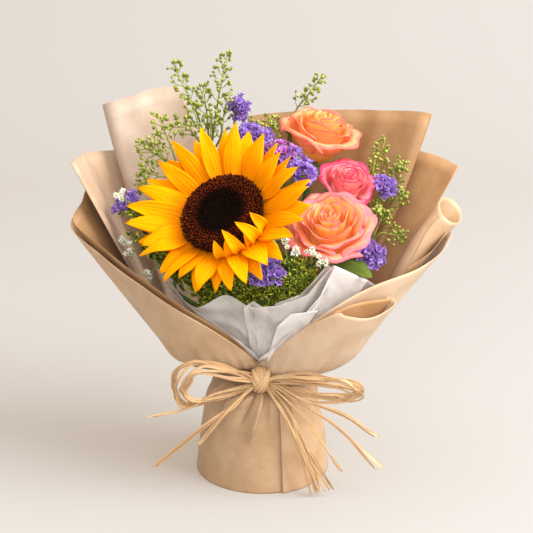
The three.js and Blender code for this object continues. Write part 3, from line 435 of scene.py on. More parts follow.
def green_material(name, dark, light, glow, shade=(0.45, 0.5, 0.4), contrast=0.6):
    look = Look(name, light, roughness=0.5)
    along, _, tone = look.marks()
    blotch = look.noise(220, 3)
    # For the filler the dark feet and the darkening by tone below are painted shade.
    base = look.ramp(along, (0, dark), (1, light))
    base = look.shade(base, 0.5, blotch, 0.3, (0.6, 0.65, 0.5), 0.65)
    base = look.shade(base, contrast, tone, 0, shade, 1)
    return look.finish(base, glow, blotch, 0.3, 0.3)


def disc_material():
    """Here along is a floret's height and across its distance from the centre."""
    look = Look("sunflower_disc", (0.03, 0.012, 0.006), roughness=0.8, specular=0.02)
    height, out, tone = look.marks()
    body = look.ramp(out, (0.0, (0.005, 0.003, 0.002)), (0.5, (0.005, 0.002, 0.001)),
                     (0.75, (0.040, 0.008, 0.004)), (1.0, (0.030, 0.009, 0.004)))
    tips = look.ramp(out, (0.0, (0.009, 0.006, 0.003)), (0.52, (0.015, 0.005, 0.003)),
                     (0.76, (0.16, 0.022, 0.004)), (1.0, (0.07, 0.014, 0.004)))
    lit = look.rise(look.times(height, tone), 0.45, 0.85)
    return look.finish(look.mix("MIX", lit, body, tips))


def white_flower_material():
    look = Look("white_flower", (0.86, 0.86, 0.80), roughness=0.5, specular=0.3)
    base = look.ramp(look.marks()[0], (0, (0.55, 0.58, 0.08)), (0.25, (0.72, 0.72, 0.25)),
                     (0.4, (0.95, 0.95, 0.88)), (1, (1.0, 0.99, 0.96)))
    return look.finish(base, 0.25)


KRAFT = kraft_material("kraft", (0.575, 0.370, 0.205), (0.655, 0.450, 0.270), 0.22)
SLEEVE_KRAFT = kraft_material("kraft_sleeve", (0.45, 0.275, 0.146), (0.535, 0.350, 0.20), 0.2)
# Painted shade: a much darker copy of the kraft for paper in deep shade, the back right panel and two of the
# shade sheets inside the rims.
DEEP_SHADE_KRAFT = kraft_material("kraft_back", (0.355, 0.188, 0.074), (0.42, 0.242, 0.106), 0.3)
# Painted shade: a darker, warmer copy of the kraft for shaded inner faces, the right side sheet and the
# pocket, where light comes back warm off the paper.
WARM_SHADE_KRAFT = kraft_material("kraft_warm_shade", (0.57, 0.325, 0.140), (0.65, 0.40, 0.185), 0.3)
# Painted sheen: a paler copy of the kraft for the back left sheet, standing in for light grazing it with a
# sheen.
SHEEN_KRAFT = kraft_material("kraft_painted_sheen", (0.47, 0.345, 0.255), (0.54, 0.42, 0.325), 0.22)
# Painted light: a lighter copy of the kraft for the outer faces at the front right, which face the key light.
LIT_KRAFT = kraft_material("kraft_front", (0.65, 0.46, 0.295), (0.74, 0.555, 0.38), 0.22)
# Painted shade: a darker copy of the kraft for the left side sheet, which lies partly in shade.
HALF_SHADE_KRAFT = kraft_material("kraft_side", (0.51, 0.34, 0.215), (0.59, 0.415, 0.28), 0.22)
TISSUE = tissue_material("tissue", (0.75, 0.70, 0.67), (0.89, 0.85, 0.83), 0.42, 0.4)
# Painted light: a lighter, less clear copy of the tissue for the lit folds at the front right.
LIT_TISSUE = tissue_material("tissue_lit", (0.79, 0.755, 0.735), (0.90, 0.87, 0.85), 0.1, 0.12)
RAFFIA = raffia_material()
RAY = petal_material(
    "sunflower_ray",
    [(0, (0.60, 0.14, 0.0)), (0.22, (0.90, 0.30, 0.0)), (0.6, (1.0, 0.40, 0.0)), (1, (1.0, 0.465, 0.002))],
    10, 1.0, (0.90, 0.66, 0.3), 0.32, shine=0.03)
DISC = disc_material()
# The last number of each rose is the strength of its painted glow.
PEACH = rose_material("rose_peach", (1.0, 0.52, 0.09), (1.0, 0.61, 0.18), (1.0, 0.68, 0.28),
                      ((1.0, 0.30, 0.35), 0.98, 1.17), (1.0, 0.49, 0.32), 0.08)
ORANGE = rose_material("rose_orange", (1.0, 0.50, 0.06), (1.0, 0.60, 0.14), (1.0, 0.63, 0.22),
                       ((0.99, 0.27, 0.20), 0.99, 1.17), (1.0, 0.50, 0.27), 0.10)
PINK = rose_material("rose_pink", (1.0, 0.62, 0.42), (1.0, 0.56, 0.48), (1.0, 0.55, 0.55),
                     ((0.90, 0.07, 0.20), 0.96, 1.14), (0.97, 0.24, 0.30), 0.05)
VIOLET = statice_material("statice_violet", (0.22, 0.12, 0.30), (0.33, 0.18, 0.57), (0.50, 0.35, 0.80),
                          (0.7, 0.6, 0.85))
MAGENTA = statice_material("statice_magenta", (0.36, 0.08, 0.38), (0.57, 0.18, 0.56), (0.73, 0.36, 0.72),
                           (0.75, 0.6, 0.8))
STEM = green_material("green_stem", (0.11, 0.19, 0.03), (0.22, 0.32, 0.06), 0.0)
LEAF = green_material("green_leaf", (0.07, 0.15, 0.025), (0.15, 0.24, 0.04), 0.25)
POD = green_material("seed_pod", (0.18, 0.25, 0.03), (0.58, 0.58, 0.12), 0.25)
# Painted shade: the filler's leaves are near black at their feet and darkened by a random amount, standing in
# for the shade deep in the filler.
MOSS = green_material("green_filler", (0.03, 0.06, 0.005), (0.84, 0.90, 0.07), 0.2,
                      shade=(0.02, 0.04, 0.01), contrast=0.95)
WHITE = white_flower_material()


# Wrap: the same sheets as the solids, finer.
# Steps between two given columns, and rows above the corner
KRAFT_GRID, TISSUE_GRID = (14, 16), (24, 34)
TISSUE_CORNER, TISSUE_FILLET = 101, 12
OUTER_GATHER, INNER_GATHER = 1.8, 1.1


def creased(across, up, seed):
    """Flat facets that meet in sharp folds, between -1 and 0.3."""
    heights = np.random.default_rng(seed).uniform(-1, 0.3, (64, 64))
    column, row = np.floor(across).astype(int), np.floor(up).astype(int)
    right, above = across - column, up - row
    column, row = column % 63, row % 63
    near, far = heights[column, row], heights[column + 1, row + 1]
    beside, over = heights[column + 1, row], heights[column, row + 1]
    lower = near + (beside - near) * right + (over - near) * above
    upper = far + (over - far) * (1 - right) + (beside - far) * (1 - above)
    return np.where(right + above < 1, lower, upper)


def straight(start, end, rows):
    """Points of a straight line, without its first one."""
    return list(blend(start, end, np.linspace(0, 1, rows)[1:, None]))


def bent(start, towards, end, rows):
    """Points of a bend, without its first one."""
    t = np.linspace(0, 1, rows)[1:, None]
    return list((1 - t) ** 2 * start + 2 * t * (1 - t) * towards + t**2 * end)


def sheet_line(neck, bend, corner, rim, fillet, rows):
    """Radius and height of a sheet at one angle: up the neck, out, round its corner and up to the rim."""
    start = np.array([neck, bend])
    out, up = corner - start, rim - corner
    long_out, long_up = np.linalg.norm(out), np.linalg.norm(up)
    cut = min(fillet, 0.6 * long_out, 0.6 * long_up)
    before, after = corner - out / long_out * cut, corner + up / long_up * cut
    lip = min(3, 0.3 * long_out)
    under, beyond = np.array([neck, bend - lip]), start + out / long_out * lip
    low = [(neck, TIE_BOTTOM - 1), under, *bent(under, start, beyond, 5), *straight(beyond, before, 4)]
    return np.array([*low, *bent(before, corner, after, 8), *straight(after, rim, rows)])


def curl(edge, inner, shares, radius, degrees):
    """Rows that roll a sheet's side edge outwards, wider towards its rim."""
    ahead = unit(edge - inner)
    normal = unit(np.cross(ahead, heading(edge)))
    outward = np.sum(normal * np.insert(edge[:, :2], 2, -20.0, axis=1), -1)
    normal = np.where(outward[:, None] < 0, -normal, normal)
    size = radius * np.maximum(shares, 0.06)[:, None]
    turn = np.radians(degrees * np.arange(1, 9) / 8).reshape(-1, 1, 1)
    return edge + ahead * size * np.sin(turn) + normal * size * (1 - np.cos(turn))


def wrap_sheet(seed, layer, columns, corner=100, fillet=18, waviness=1.0, crisp=False,
               curl_start=None, curl_end=None, ridges=(), facets=0.0):
    """A sheet from its columns: angle at the tie and at the rim, rim radius and height, corner radius.

    Its corner has a height and a fillet, a curl a radius and degrees, a ridge its angle, width and depth.
    Tissue also has crumpled facets of some depth.
    """
    neck = INNER_KRAFT_RADIUS + LAYER_STEP * layer
    fine, rows = KRAFT_GRID
    if facets:
        neck = INNER_TISSUE_RADIUS + TISSUE_STEP * (layer - INNER_TISSUE_LAYER)
        fine, rows = TISSUE_GRID
        corner, fillet = TISSUE_CORNER, TISSUE_FILLET
    columns = np.array(columns, float)
    at = np.arange(len(columns))
    steps = (len(columns) - 1) * fine + 1
    if crisp:
        where = np.linspace(0, len(columns) - 1, steps)
        dense = np.stack([np.interp(where, at, column) for column in columns.T], -1)
    else:
        dense = spline(np.hstack([at[:, None] * 30.0, columns]), steps)[:, 1:]
    rise = LAYER_STEP * (OUTER_LAYER - layer)
    bend = BEND_HEIGHT + rise
    gather_depth = OUTER_GATHER if layer > 2 else INNER_GATHER
    grid = []
    for angle_low, angle_high, rim_radius, rim_height, corner_radius in dense:
        turn = np.array([corner_radius + LAYER_STEP * layer, corner + rise])
        rim = np.array([rim_radius, rim_height])
        line = sheet_line(neck, bend, turn, rim, fillet, rows)
        share = np.clip((line[:, 1] - bend) / (rim_height - bend), 0, 1)
        angle = blend(angle_low, angle_high, np.sqrt(share))
        gather = smooth(share, 0.0, 0.05) * (1 - smooth(share, 0.12, 0.75))
        radius = line[:, 0] + gather_depth * gather * ripple(angle, (17, 26, 41), 5)
        radius = radius + waviness * smooth(share, 0.2, 1.0) * ripple(angle, (5, 9, 14), seed)
        for ridge, width, depth in ridges:
            radius = radius + depth * smooth(share, 0.1, 0.7) * np.exp(-(((angle - ridge) / width) ** 2))
        if facets:
            folds = creased(angle / 8.5 + 2.1 * share, share * 6.5 + angle / 60, seed)
            radius = radius + facets * smooth(share, 0.06, 0.3) * folds
        grid.append(polar(radius, angle, line[:, 1]))
    grid = np.array(grid)
    if curl_end:
        grid = np.vstack([grid, curl(grid[-1], grid[-2], share, *curl_end)])
    if curl_start:
        grid = np.vstack([curl(grid[0], grid[1], share, *curl_start)[::-1], grid])
    return grid


KRAFT_SHEETS = [
    ("kraft_back_right_paper", "kraft_back_right", DEEP_SHADE_KRAFT, dict(
        layer=0, curl_start=(12, 60), ridges=[(133, 3, -2.5), (158, 4, 2)], columns=[
            [88, 122, 163, 300, 60], [115, 138, 142, 297, 60], [150, 160, 118, 295, 60],
            [195, 187, 107, 291, 58]])),
    ("kraft_back_left_paper", "kraft_back_left", SHEEN_KRAFT, dict(
        layer=1, curl_end=(9, 110), ridges=[(-123, 6, -4)], columns=[
            [-190, -142, 117, 322, 60], [-150, -130, 131, 320, 62], [-88, -117, 143, 315, 63]])),
    ("kraft_side_left_paper", "kraft_side_left", HALF_SHADE_KRAFT, dict(
        layer=2, curl_end=(7, 60), ridges=[(-107, 6, 4)], columns=[
            [-130, -124, 146, 266, 66], [-105, -106, 154, 274, 68], [-84, -89, 155, 279, 69]])),
    ("kraft_side_right_paper", "kraft_side_right", WARM_SHADE_KRAFT, dict(
        layer=1, corner=99, fillet=20, crisp=True, columns=[
            [78, 99, 169, 266, 66], [98, 110, 166, 266, 66], [120, 128, 162, 264, 66]])),
    ("kraft_left_outer_paper", "kraft_left_outer", KRAFT, dict(
        layer=3, fillet=16, columns=[
            [-112, -108, 153, 252, 72], [-92, -93, 152, 240, 71], [-82, -84, 160, 225, 71],
            [-74, -76, 136, 206, 69], [-60, -60, 112, 187, 62], [-44, -45, 92, 168, 48],
            [-28, -27, 58, 138, 34], [-7, -9, 31, 111, 26], [-1, -2, 28, 112.5, 24], [4, 3, 27, 109, 23]])),
    ("kraft_right_outer_paper", "kraft_right_outer", LIT_KRAFT, dict(
        layer=3, corner=99, fillet=30, columns=[
            [20, 22, 52, 134, 34], [36, 41, 89, 173, 50], [52, 58, 108, 189, 62], [68, 74, 136, 197, 69],
            [78, 81, 152, 207, 69], [86, 87, 158, 215, 69], [92, 96, 162, 214, 70]])),
    ("kraft_front_curl_paper", "kraft_front_curl", LIT_KRAFT, dict(
        layer=4, corner=98, fillet=30, columns=[
            [-4, -3, 28, 110.5, 25], [6, 9, 34, 114, 28], [22, 25, 71, 151, 42], [29, 32, 88, 165, 50],
            [34, 37.5, 100, 173, 56], [38, 41, 103.5, 170, 59], [45, 49, 111, 166, 63],
            [54, 56, 117, 167, 67], [65, 65, 122, 171, 70], [68, 67, 116, 174, 70], [69, 64, 103, 175, 69]])),
]
# Dark sheets just inside two of the rims and in the pocket: painted shade for the shaded inner sides of the
# paper
SHADE_SHEETS = [
    ("kraft_left_shade_sheet", "kraft_left_outer", DEEP_SHADE_KRAFT, dict(layer=2.6, fillet=16, columns=[
        [-98, -98, 151, 247, 72], [-90, -91, 151, 242, 71], [-82, -84, 157, 230, 71],
        [-74, -76, 135, 213, 69], [-60, -60, 111, 193.5, 62], [-44, -45, 91, 173, 48],
        [-28, -27, 57, 141, 34], [-7, -9, 30, 109, 26]])),
    ("kraft_right_shade_sheet", "kraft_right_outer", DEEP_SHADE_KRAFT, dict(layer=2.6, corner=99, fillet=30, columns=[
        [64, 70, 128, 200, 68], [74, 78, 145, 211, 68], [84, 86, 155, 222, 68], [92, 96, 159, 224, 68]])),
    ("kraft_pocket_shade_sheet", "kraft_front_curl", WARM_SHADE_KRAFT, dict(layer=3.5, corner=99, fillet=30, columns=[
        [38, 39, 93, 171, 57], [47, 47, 100, 176, 62], [55, 55, 105.5, 176, 66], [62, 62, 112.5, 175, 69],
        [68, 67, 117, 174, 70]])),
]
TISSUE_SHEETS = [
    ("tissue_inner_paper", "tissue_inner", TISSUE, dict(layer=-3, facets=2.4, crisp=True, columns=[
        [10, 10, 63, 174, 28], [26, 27, 70, 182, 31], [43, 43, 79, 207, 33], [50, 50, 81, 198, 35],
        [56, 56, 84, 188, 37], [62, 62, 87, 181, 39]])),
    ("tissue_left_paper", "tissue_left", TISSUE, dict(layer=-2, facets=2.4, columns=[
        [-60, -62, 92, 193, 40], [-46, -46, 80, 169, 36], [-28, -26, 70, 182, 30], [-8, -10, 64, 173, 27],
        [6, 5, 63, 172, 26]])),
    ("tissue_right_paper", "tissue_right", TISSUE, dict(layer=-1, facets=2.4, crisp=True, columns=[
        [-5, -6, 66, 172, 29], [10, 12, 70, 175, 30], [26, 30, 77, 184, 34], [40, 44.5, 83, 207, 39],
        [56, 62, 98, 190, 46], [92, 80, 100, 172, 49]])),
]
# Loose folds of the tissue, which lie in front of its sheets and run down to the tie
TISSUE_FOLDS = [
    ("tissue_fold_left", "tissue_left", TISSUE, dict(layer=-0.8, facets=2.0, columns=[
        [-64, -60, 93, 192, 40], [-50, -46, 83, 171, 37], [-34, -28, 62, 146, 31], [-16, -10, 43, 124, 27],
        [-4, -3, 34, 112, 26]])),
    ("tissue_fold_middle", "tissue_left", TISSUE, dict(layer=-0.6, facets=2.0, crisp=True, columns=[
        [-17, -13, 66.5, 172, 27.5], [-9, -6, 66, 178, 27.5], [0, 1, 66.5, 173, 27.5]])),
    ("tissue_fold_right", "tissue_right", LIT_TISSUE, dict(layer=-0.4, facets=2.0, crisp=True, columns=[
        [-7, -6, 35, 113, 26], [6, 8, 45, 126, 28], [20, 24, 61, 150, 30], [32, 37, 80, 182, 38],
        [41, 45, 85, 206, 41], [54, 62, 99, 189, 46]])),
    ("tissue_fold_patch", "tissue_right", LIT_TISSUE, dict(layer=-0.1, facets=0.8, crisp=True, columns=[
        [4, 12, 60, 153, 31], [12, 20.5, 68.5, 166, 33], [26, 34, 81, 171, 38]])),
]
# Sheets, slot, thickness, waviness and first seed
WRAP = [
    (SHADE_SHEETS, "kraft_paper", SHADE_SHEET_PAPER, 0.3, 80),
    (KRAFT_SHEETS, "kraft_paper", PAPER, 1.0, 20),
    (TISSUE_SHEETS, "tissue_paper", TISSUE_PAPER, 1.0, 40),
    (TISSUE_FOLDS, "tissue_paper", FOLD_PAPER, 0.6, 60),
]


def make_wrap():
    for sheets, slot, thickness, waviness, first_seed in WRAP:
        for seed, (name, solid, paper, sheet) in enumerate(sheets, first_seed):
            points = wrap_sheet(seed, waviness=waviness, **sheet)
            make_piece(points, name, paper, slot, solid, thickness)


# The rolled right edge of the wrap
ROLL_CENTRES = [polar(99.8, 82.5, 150), polar(131, 86, 203), np.array([158.0, -2.0, 236.0])]
ROLL_WIDE = [11, 12, 13.5]
ROLL_DEEP = [3.4, 8, 12]
ROLL_ROWS = 28
ROLL_COLUMNS = 70
ROLL_START, ROLL_END = 150, 545
ROLL_SLANT = 0.62


def make_roll():
    line = spline(ROLL_CENTRES, ROLL_ROWS)
    along = heading(line)
    across = unit(np.cross(along, [1, 0, 0.6]))
    outward = unit(np.cross(across, along))
    up = np.linspace(0, 2, ROLL_ROWS)
    wide, deep = np.interp(up, range(3), ROLL_WIDE), np.interp(up, range(3), ROLL_DEEP)
    turn = np.radians(np.linspace(ROLL_START, ROLL_END, ROLL_COLUMNS))[:, None]
    grow = np.linspace(0.93, 1.02, ROLL_COLUMNS)[:, None]
    rows = []
    for k in range(ROLL_ROWS):
        ring = wide[k] * np.cos(turn) * across[k] + deep[k] * np.sin(turn) * outward[k]
        # The mouth is cut at a slant, its near side lower.
        slant = ROLL_SLANT * smooth(up[k], 1.0, 2.0) * ring[:, 1:2] * along[k]
        rows.append(line[k] + grow * ring + slant)
    points = np.swapaxes(rows, 0, 1)
    make_piece(points, "kraft_right_roll_paper", KRAFT, "kraft_paper", "kraft_right_roll", PAPER)


# Sleeve round the cut stems
SLEEVE_PROFILE = [(SLEEVE_NECK_RADIUS, SLEEVE_TOP), (SLEEVE_NECK_RADIUS, 88.6), (29, 86.4), (38, 83.6),
                  (46.5, 75.5), (52.5, 45), (58, 0)]
SLEEVE_ROWS = 64
SLEEVE_COLUMNS = 420
SLEEVE_START, SLEEVE_END = 17, 395
SLEEVE_FOOT_WAVES = 0.7
# Degrees at the tie, degrees and height of the lower end, width, depth
SLEEVE_TUCKS = [
    (-6, -22, 60, 4.2, -3.4), (2, -11, 46, 3.4, 4.2), (9, 4, 58, 3.0, -1.8), (22, 34, 60, 4.0, 2.6),
    (30, 46, 66, 3.0, -2.0), (44, 62, 56, 5.0, 2.4), (60, 78, 64, 4.0, -1.6), (-20, -46, 62, 4.5, 2.2),
    (-14, -38, 68, 4.0, -2.6), (-38, -60, 50, 5.0, -1.9), (-58, -78, 62, 5.0, 2.2),
    (-90, -98, 54, 6.0, -1.8), (-118, -124, 60, 6.0, 2.0), (-150, -146, 50, 7.0, -1.8),
    (176, 170, 58, 7.0, 2.0), (142, 150, 52, 6.0, -1.7), (112, 118, 60, 6.0, 1.9), (86, 96, 48, 5.0, -1.5),
]


def sleeve_folds(angle, height):
    """The tucks at one angle: each has a steep side and a long one."""
    folds = 0
    for tie, low, low_height, width, depth in SLEEVE_TUCKS:
        middle = blend(low, tie, np.clip((height - low_height) / (TIE_BOTTOM - low_height), 0, 1))
        away = (angle - middle + 180) % 360 - 180
        spread = width * blend(1.5, 0.8, smooth(height, low_height, TIE_BOTTOM))
        sharp = np.exp(-np.abs(away / (spread * np.where(away > 0, 0.40, 1.5))) ** 1.15)
        folds = folds + 1.7 * depth * smooth(height, low_height - 6, low_height + 16) * sharp
    return folds


def make_sleeve():
    radius, height = spline(SLEEVE_PROFILE, SLEEVE_ROWS).T
    gathered = 1 - smooth(height, 84, 90)
    grid = []
    for share in np.linspace(0, 1, SLEEVE_COLUMNS):
        angle = blend(SLEEVE_START, SLEEVE_END, share)
        lap = SLEEVE_LAP * (1.8 - 0.8 * smooth(share, 0.0, 0.03)) * (1 - smooth(share, 0.045, 0.10))
        soft = SLEEVE_FOOT_WAVES * smooth(height, 0, 30) * ripple(angle, (4, 7), 3)
        grid.append(polar(radius + lap + (sleeve_folds(angle, height) + soft) * gathered, angle, height))
    name = "kraft_foot_sleeve"
    make_piece(grid, name + "_paper", SLEEVE_KRAFT, "kraft_paper", name, SLEEVE_PAPER)


# Stems keep their own places through the tie and spread above and below it.
# Distances of the places from the axis, and radii of the stems
INNER, BETWEEN, OUTER = 7.6, 11.0, 12.2
SUN_STEM, ROSE_STEM, STATICE_STEM, THIN_STEM = 4.5, 2.5, 2.0, 1.9
# Heights below the tie, and how many times further out the stems are there
SPLAY = [(84, 1.08), (45, 2.3), (0, 3)]


def stem_line(place, head, way, reach, count=40):
    """A stem from its head down through its place in the tie to its cut end."""
    radius, degrees = place
    tie = polar(radius, degrees, TIE_MIDDLE)
    below = [polar(radius * spread, degrees + 0.28 * (TIE_MIDDLE - max(height, 8)), height)
             for height, spread in SPLAY]
    neck = np.asarray(head, float) - np.asarray(way, float) * reach
    above = []
    for share in (0.62, 0.3):
        height = blend(114, neck[2], share)
        direct = blend(tie, neck, (height - TIE_MIDDLE) / (neck[2] - TIE_MIDDLE))
        bound = polar(radius * (1 + 0.02 * (height - TIE_MIDDLE)), degrees, height)
        above.append(blend(bound, direct, 0.25 + 0.75 * share))
    return spline([head, neck, *above, polar(radius * 1.01, degrees, 110), tie, *below], count)


def branch(shape, points, count, radius, sides, tone=0.8):
    tube(shape, spline(points, count), radius, sides, tone)


class Bloom:
    """A flower's own axes: its third looks out of the bloom."""

    def __init__(self, centre, facing):
        self.centre = np.array(centre, float)
        self.out = unit(facing)
        right = unit(np.cross(UP, self.out))
        self.basis = np.stack([right, np.cross(self.out, right), self.out])

    def place(self, points):
        return np.asarray(points, float) @ self.basis + self.centre


# Sunflower
SUN = Bloom((-31.5, -45, 245.5), (-0.346, -0.61, 0.7125))
SUN_RING = 34.0
FRONT_RAY_HEIGHT, REAR_RAY_HEIGHT, CURLED_RAY_HEIGHT = -5.6, -6.9, -4.4
# Rays: degrees, length, and 1 for the rear ones
RAYS = [
    (4, 45, 0), (14, 41, 1), (23, 44, 0), (32, 42, 1), (43, 40, 0), (55, 38, 1), (63, 36, 0), (72, 40, 1),
    (82, 43, 0), (93, 44, 1), (104, 49, 0), (113, 48, 1), (122, 52, 0), (131, 47, 1), (139, 52, 0),
    (148, 46, 1), (155, 47, 0), (164, 49, 1), (173, 48, 0), (181, 45, 1), (189, 51, 0), (201, 50, 0),
    (209, 42, 1), (217, 40, 0), (226, 47, 0), (238, 40, 1), (247, 46, 0), (258, 36, 0), (268, 42, 1),
    (277, 45, 0), (287, 38, 1), (297, 45, 0), (308, 46, 0), (319, 40, 1), (328, 38, 0), (338, 38, 1),
    (349, 40, 0),
]
# Rays that fold back over the disc: degrees, length, half width, sideways lean
CURLED_RAYS = [(294, 24, 5.0, -4), (303, 29, 5.6, 5), (316, 35, 5.6, -5), (326, 25, 4.6, 6),
               (337, 36, 6.0, -3), (349, 27, 5.6, 5)]
RAY_GROOVES = 5
RAY_HALF = 9.6
# Lift in degrees along a ray, and how much of it a drooping one loses
FRONT_LIFTS, REAR_LIFTS, DROP = [10, 24, 29, 20, 8], [2, 10, 17, 13, 4], [0, 3, 9, 22, 44]
CURL_LIFTS = [16, 44, 84, 136, 170, 150]
DROOP_START, DROOP_END = 200, 355
# Half width along a ray, as a share of its widest
RAY_ALONG = np.linspace(0, 1, 14)
RAY_SHAPE = np.sin(np.pi * RAY_ALONG**0.74) ** 0.86
RAY_SHAPE[-1] = 0.02
RAY_SHAPE[:2] = (0.42, 0.55)
# The disc's dome: radius and height
DOME = [0, 6, 12.5, 19, 25.5, 31, 34.5], [3.6, 4.6, 5.6, 6.2, 5.6, 3.8, 0.8]
DISC_RADIUS = 35
FLORETS = 1500
FLORET_RING = 34.2
SEPALS = 26
SEPAL_RING = 29
SEPAL_LENGTH = (20, 27)
SEPAL_LIFTS = [-6, -4, -22, -30, -12]
CALYX = [(0.5, -7.6), (33, -7.6), (34.5, -9.5), (30, -13.5), (20, -18.5), (12, -22.5), (6.5, -26),
         (4.6, -30)]


def ray_side(turn):
    return np.array([-math.sin(turn), math.cos(turn), 0])


def ray_line(turn, out, height, lifts, length, rows, aside=0.0):
    """A ray's rib: it leaves the ring at a turn, bends by the given lifts and may lean aside."""
    lift = np.radians(np.interp(np.linspace(0, 1, rows), np.linspace(0, 1, len(lifts)), lifts))[1:]
    step = length / (rows - 1)
    out = np.r_[0, np.cumsum(np.cos(lift) * step)] + out
    height = np.r_[0, np.cumsum(np.sin(lift) * step)] + height
    across = np.outer(np.broadcast_to(aside, rows), ray_side(turn))
    return np.outer(out, [math.cos(turn), math.sin(turn), 0]) + across + np.outer(height, UP)


def curled_ray(line, turn, half, lean, share):
    across = np.linspace(-1, 1, 13)[None]
    half = (half * np.interp(share, RAY_ALONG, RAY_SHAPE))[:, None]
    side = unit(ray_side(turn) + 0.07 * lean * np.sin(3 * share)[:, None] * UP)
    face = np.cross(heading(line), side)
    grooves = np.cos(RAY_GROOVES * np.pi * across) * np.sin(np.pi * share)[:, None]
    lift = 0.34 * across**2 * half + 0.3 * grooves
    return line[:, None] + side[:, None] * (half * across)[..., None] - face[:, None] * lift[..., None]


def make_rays(draw):
    shape = Shape()
    for degrees, length, rear in RAYS:
        droop = math.sin(np.clip((degrees - DROOP_START) / (DROOP_END - DROOP_START), 0, 1) * math.pi)
        lifts = REAR_LIFTS if rear else FRONT_LIFTS
        lifts = [lift + draw.uniform(-5, 5) - droop * drop for lift, drop in zip(lifts, DROP)]
        turn = math.radians(degrees + draw.uniform(-1, 1))
        height = REAR_RAY_HEIGHT if rear else FRONT_RAY_HEIGHT
        length = (length + 5) * (1 - 0.16 * droop)
        aside = draw.uniform(-4, 4) * RAY_ALONG**2
        line = ray_line(turn, SUN_RING - 3.5, height, lifts, length, len(RAY_ALONG), aside)
        hint = draw.uniform(-0.4, 0.4) * ray_side(turn) + UP
        half = RAY_HALF * draw.uniform(0.8, 1.08) * RAY_SHAPE
        grid = leaf_grid(line, half, hint, 15, cup=draw.uniform(-0.2, 0.3) - 0.14, wave=0.8,
                         waves=draw.uniform(1, 2.2), grooves=0.42)
        shape.grid(SUN.place(grid), draw.random())
    share = np.linspace(0, 1, 20)
    for degrees, length, half, lean in CURLED_RAYS:
        turn = math.radians(degrees)
        lifts = [lift + draw.uniform(-10, 10) for lift in CURL_LIFTS]
        aside = lean * share**1.6
        line = ray_line(turn, SUN_RING + 1.5, CURLED_RAY_HEIGHT, lifts, length, len(share), aside)
        shape.grid(SUN.place(curled_ray(line, turn, half, lean, share)), 0.4 + 0.6 * draw.random())
    shape.make("sunflower_ray_petals", RAY, "sunflower_ray", "sunflower_rays", RAY_PETAL)


def small_bodies(shape, at, way, side, tall, wide, levels, sides, tones, across=0.0):
    """Many small bodies of rings: each level has its height, radius and mark."""
    ring = circle(round_steps(sides)[None], side, np.cross(way, side))
    tall, wide = tall[:, None, None], wide[:, None, None]
    rings = [at[:, None] + way[:, None] * (tall * height) + ring * (wide * radius)
             for height, radius, _ in levels]
    along = np.repeat([mark for *_, mark in levels], sides)
    shape.many(np.concatenate(rings, 1), quads(len(levels), sides), tones, along, across)


def make_disc():
    shape = Shape()
    radius = np.array([0.01, 6, 12.5, 19, 25.5, 31, 34.6, 33, 30])
    height = np.r_[np.interp(radius[:7], *DOME) - 0.6, -4.5, -5.0]
    bed = SUN.place(lathe(np.stack([radius, height], -1), 60)).reshape(1, -1, 3)
    shape.many(bed, quads(len(radius), 60), 0, 0, np.repeat(radius / DISC_RADIUS, 60))
    rng = np.random.default_rng(3)
    share, away = spiral(FLORETS)
    out = FLORET_RING * np.sqrt(share)
    base = away * out[:, None] + np.outer(np.interp(out, *DOME) - 0.8, UP)
    lean = np.interp(out, [0, 12, 24, 34], [-0.5, -0.25, 0.1, 0.75]) + rng.uniform(-0.25, 0.25, FLORETS)
    way = unit(away * lean[:, None] + UP + rng.uniform(-0.18, 0.18, (FLORETS, 3)))
    tall = np.interp(out, [0, 10, 20, 26, 31, 34.2], [1.5, 1.7, 2.0, 3.0, 4.2, 3.4])
    tall = tall * rng.uniform(0.8, 1.25, FLORETS)
    wide = np.interp(out, [0, 12, 24, 34], [0.42, 0.5, 0.58, 0.66])
    side = unit(np.cross(way, away + [0.01, 0, 0]))
    levels = [(0.0, 1.0, 0), (0.62, 0.9, 0.62), (0.82, 1.3, 0.82), (1.0, 0.25, 1)]
    small_bodies(shape, SUN.place(base), way @ SUN.basis, side @ SUN.basis, tall, wide, levels, 5,
                 rng.uniform(0.45, 1, FLORETS), (out / DISC_RADIUS)[:, None])
    shape.make("sunflower_disc_florets", DISC, "sunflower_disc", "sunflower_disc")


def make_calyx(draw):
    green = Shape()
    green.grid(SUN.place(lathe(spline(CALYX, 26), 48)), 0.6, closed=True)
    half = 5.4 * np.sin(np.pi * np.linspace(0, 1, 9) ** 0.6) ** 0.7
    half[-1] = 0.02
    for i in range(SEPALS):
        turn = math.radians(10 + 360 * i / SEPALS + draw.uniform(-4, 4))
        line = ray_line(turn, SEPAL_RING, -11.5 - i % 2, SEPAL_LIFTS, draw.uniform(*SEPAL_LENGTH), 9)
        green.grid(SUN.place(leaf_grid(line, half, UP, cup=-0.25, fold=-0.1)), draw.uniform(0.5, 1))
    tube(green, stem_line((0, 0), SUN.place([0, 0, -24]), SUN.out, 26, 60), SUN_STEM, 12, 0.7)
    green.make("sunflower_calyx_and_stem", STEM, "green_stem", "sunflower_calyx_stem")


def make_sunflower():
    draw = random.Random(7)
    make_rays(draw)
    make_disc()
    make_calyx(draw)


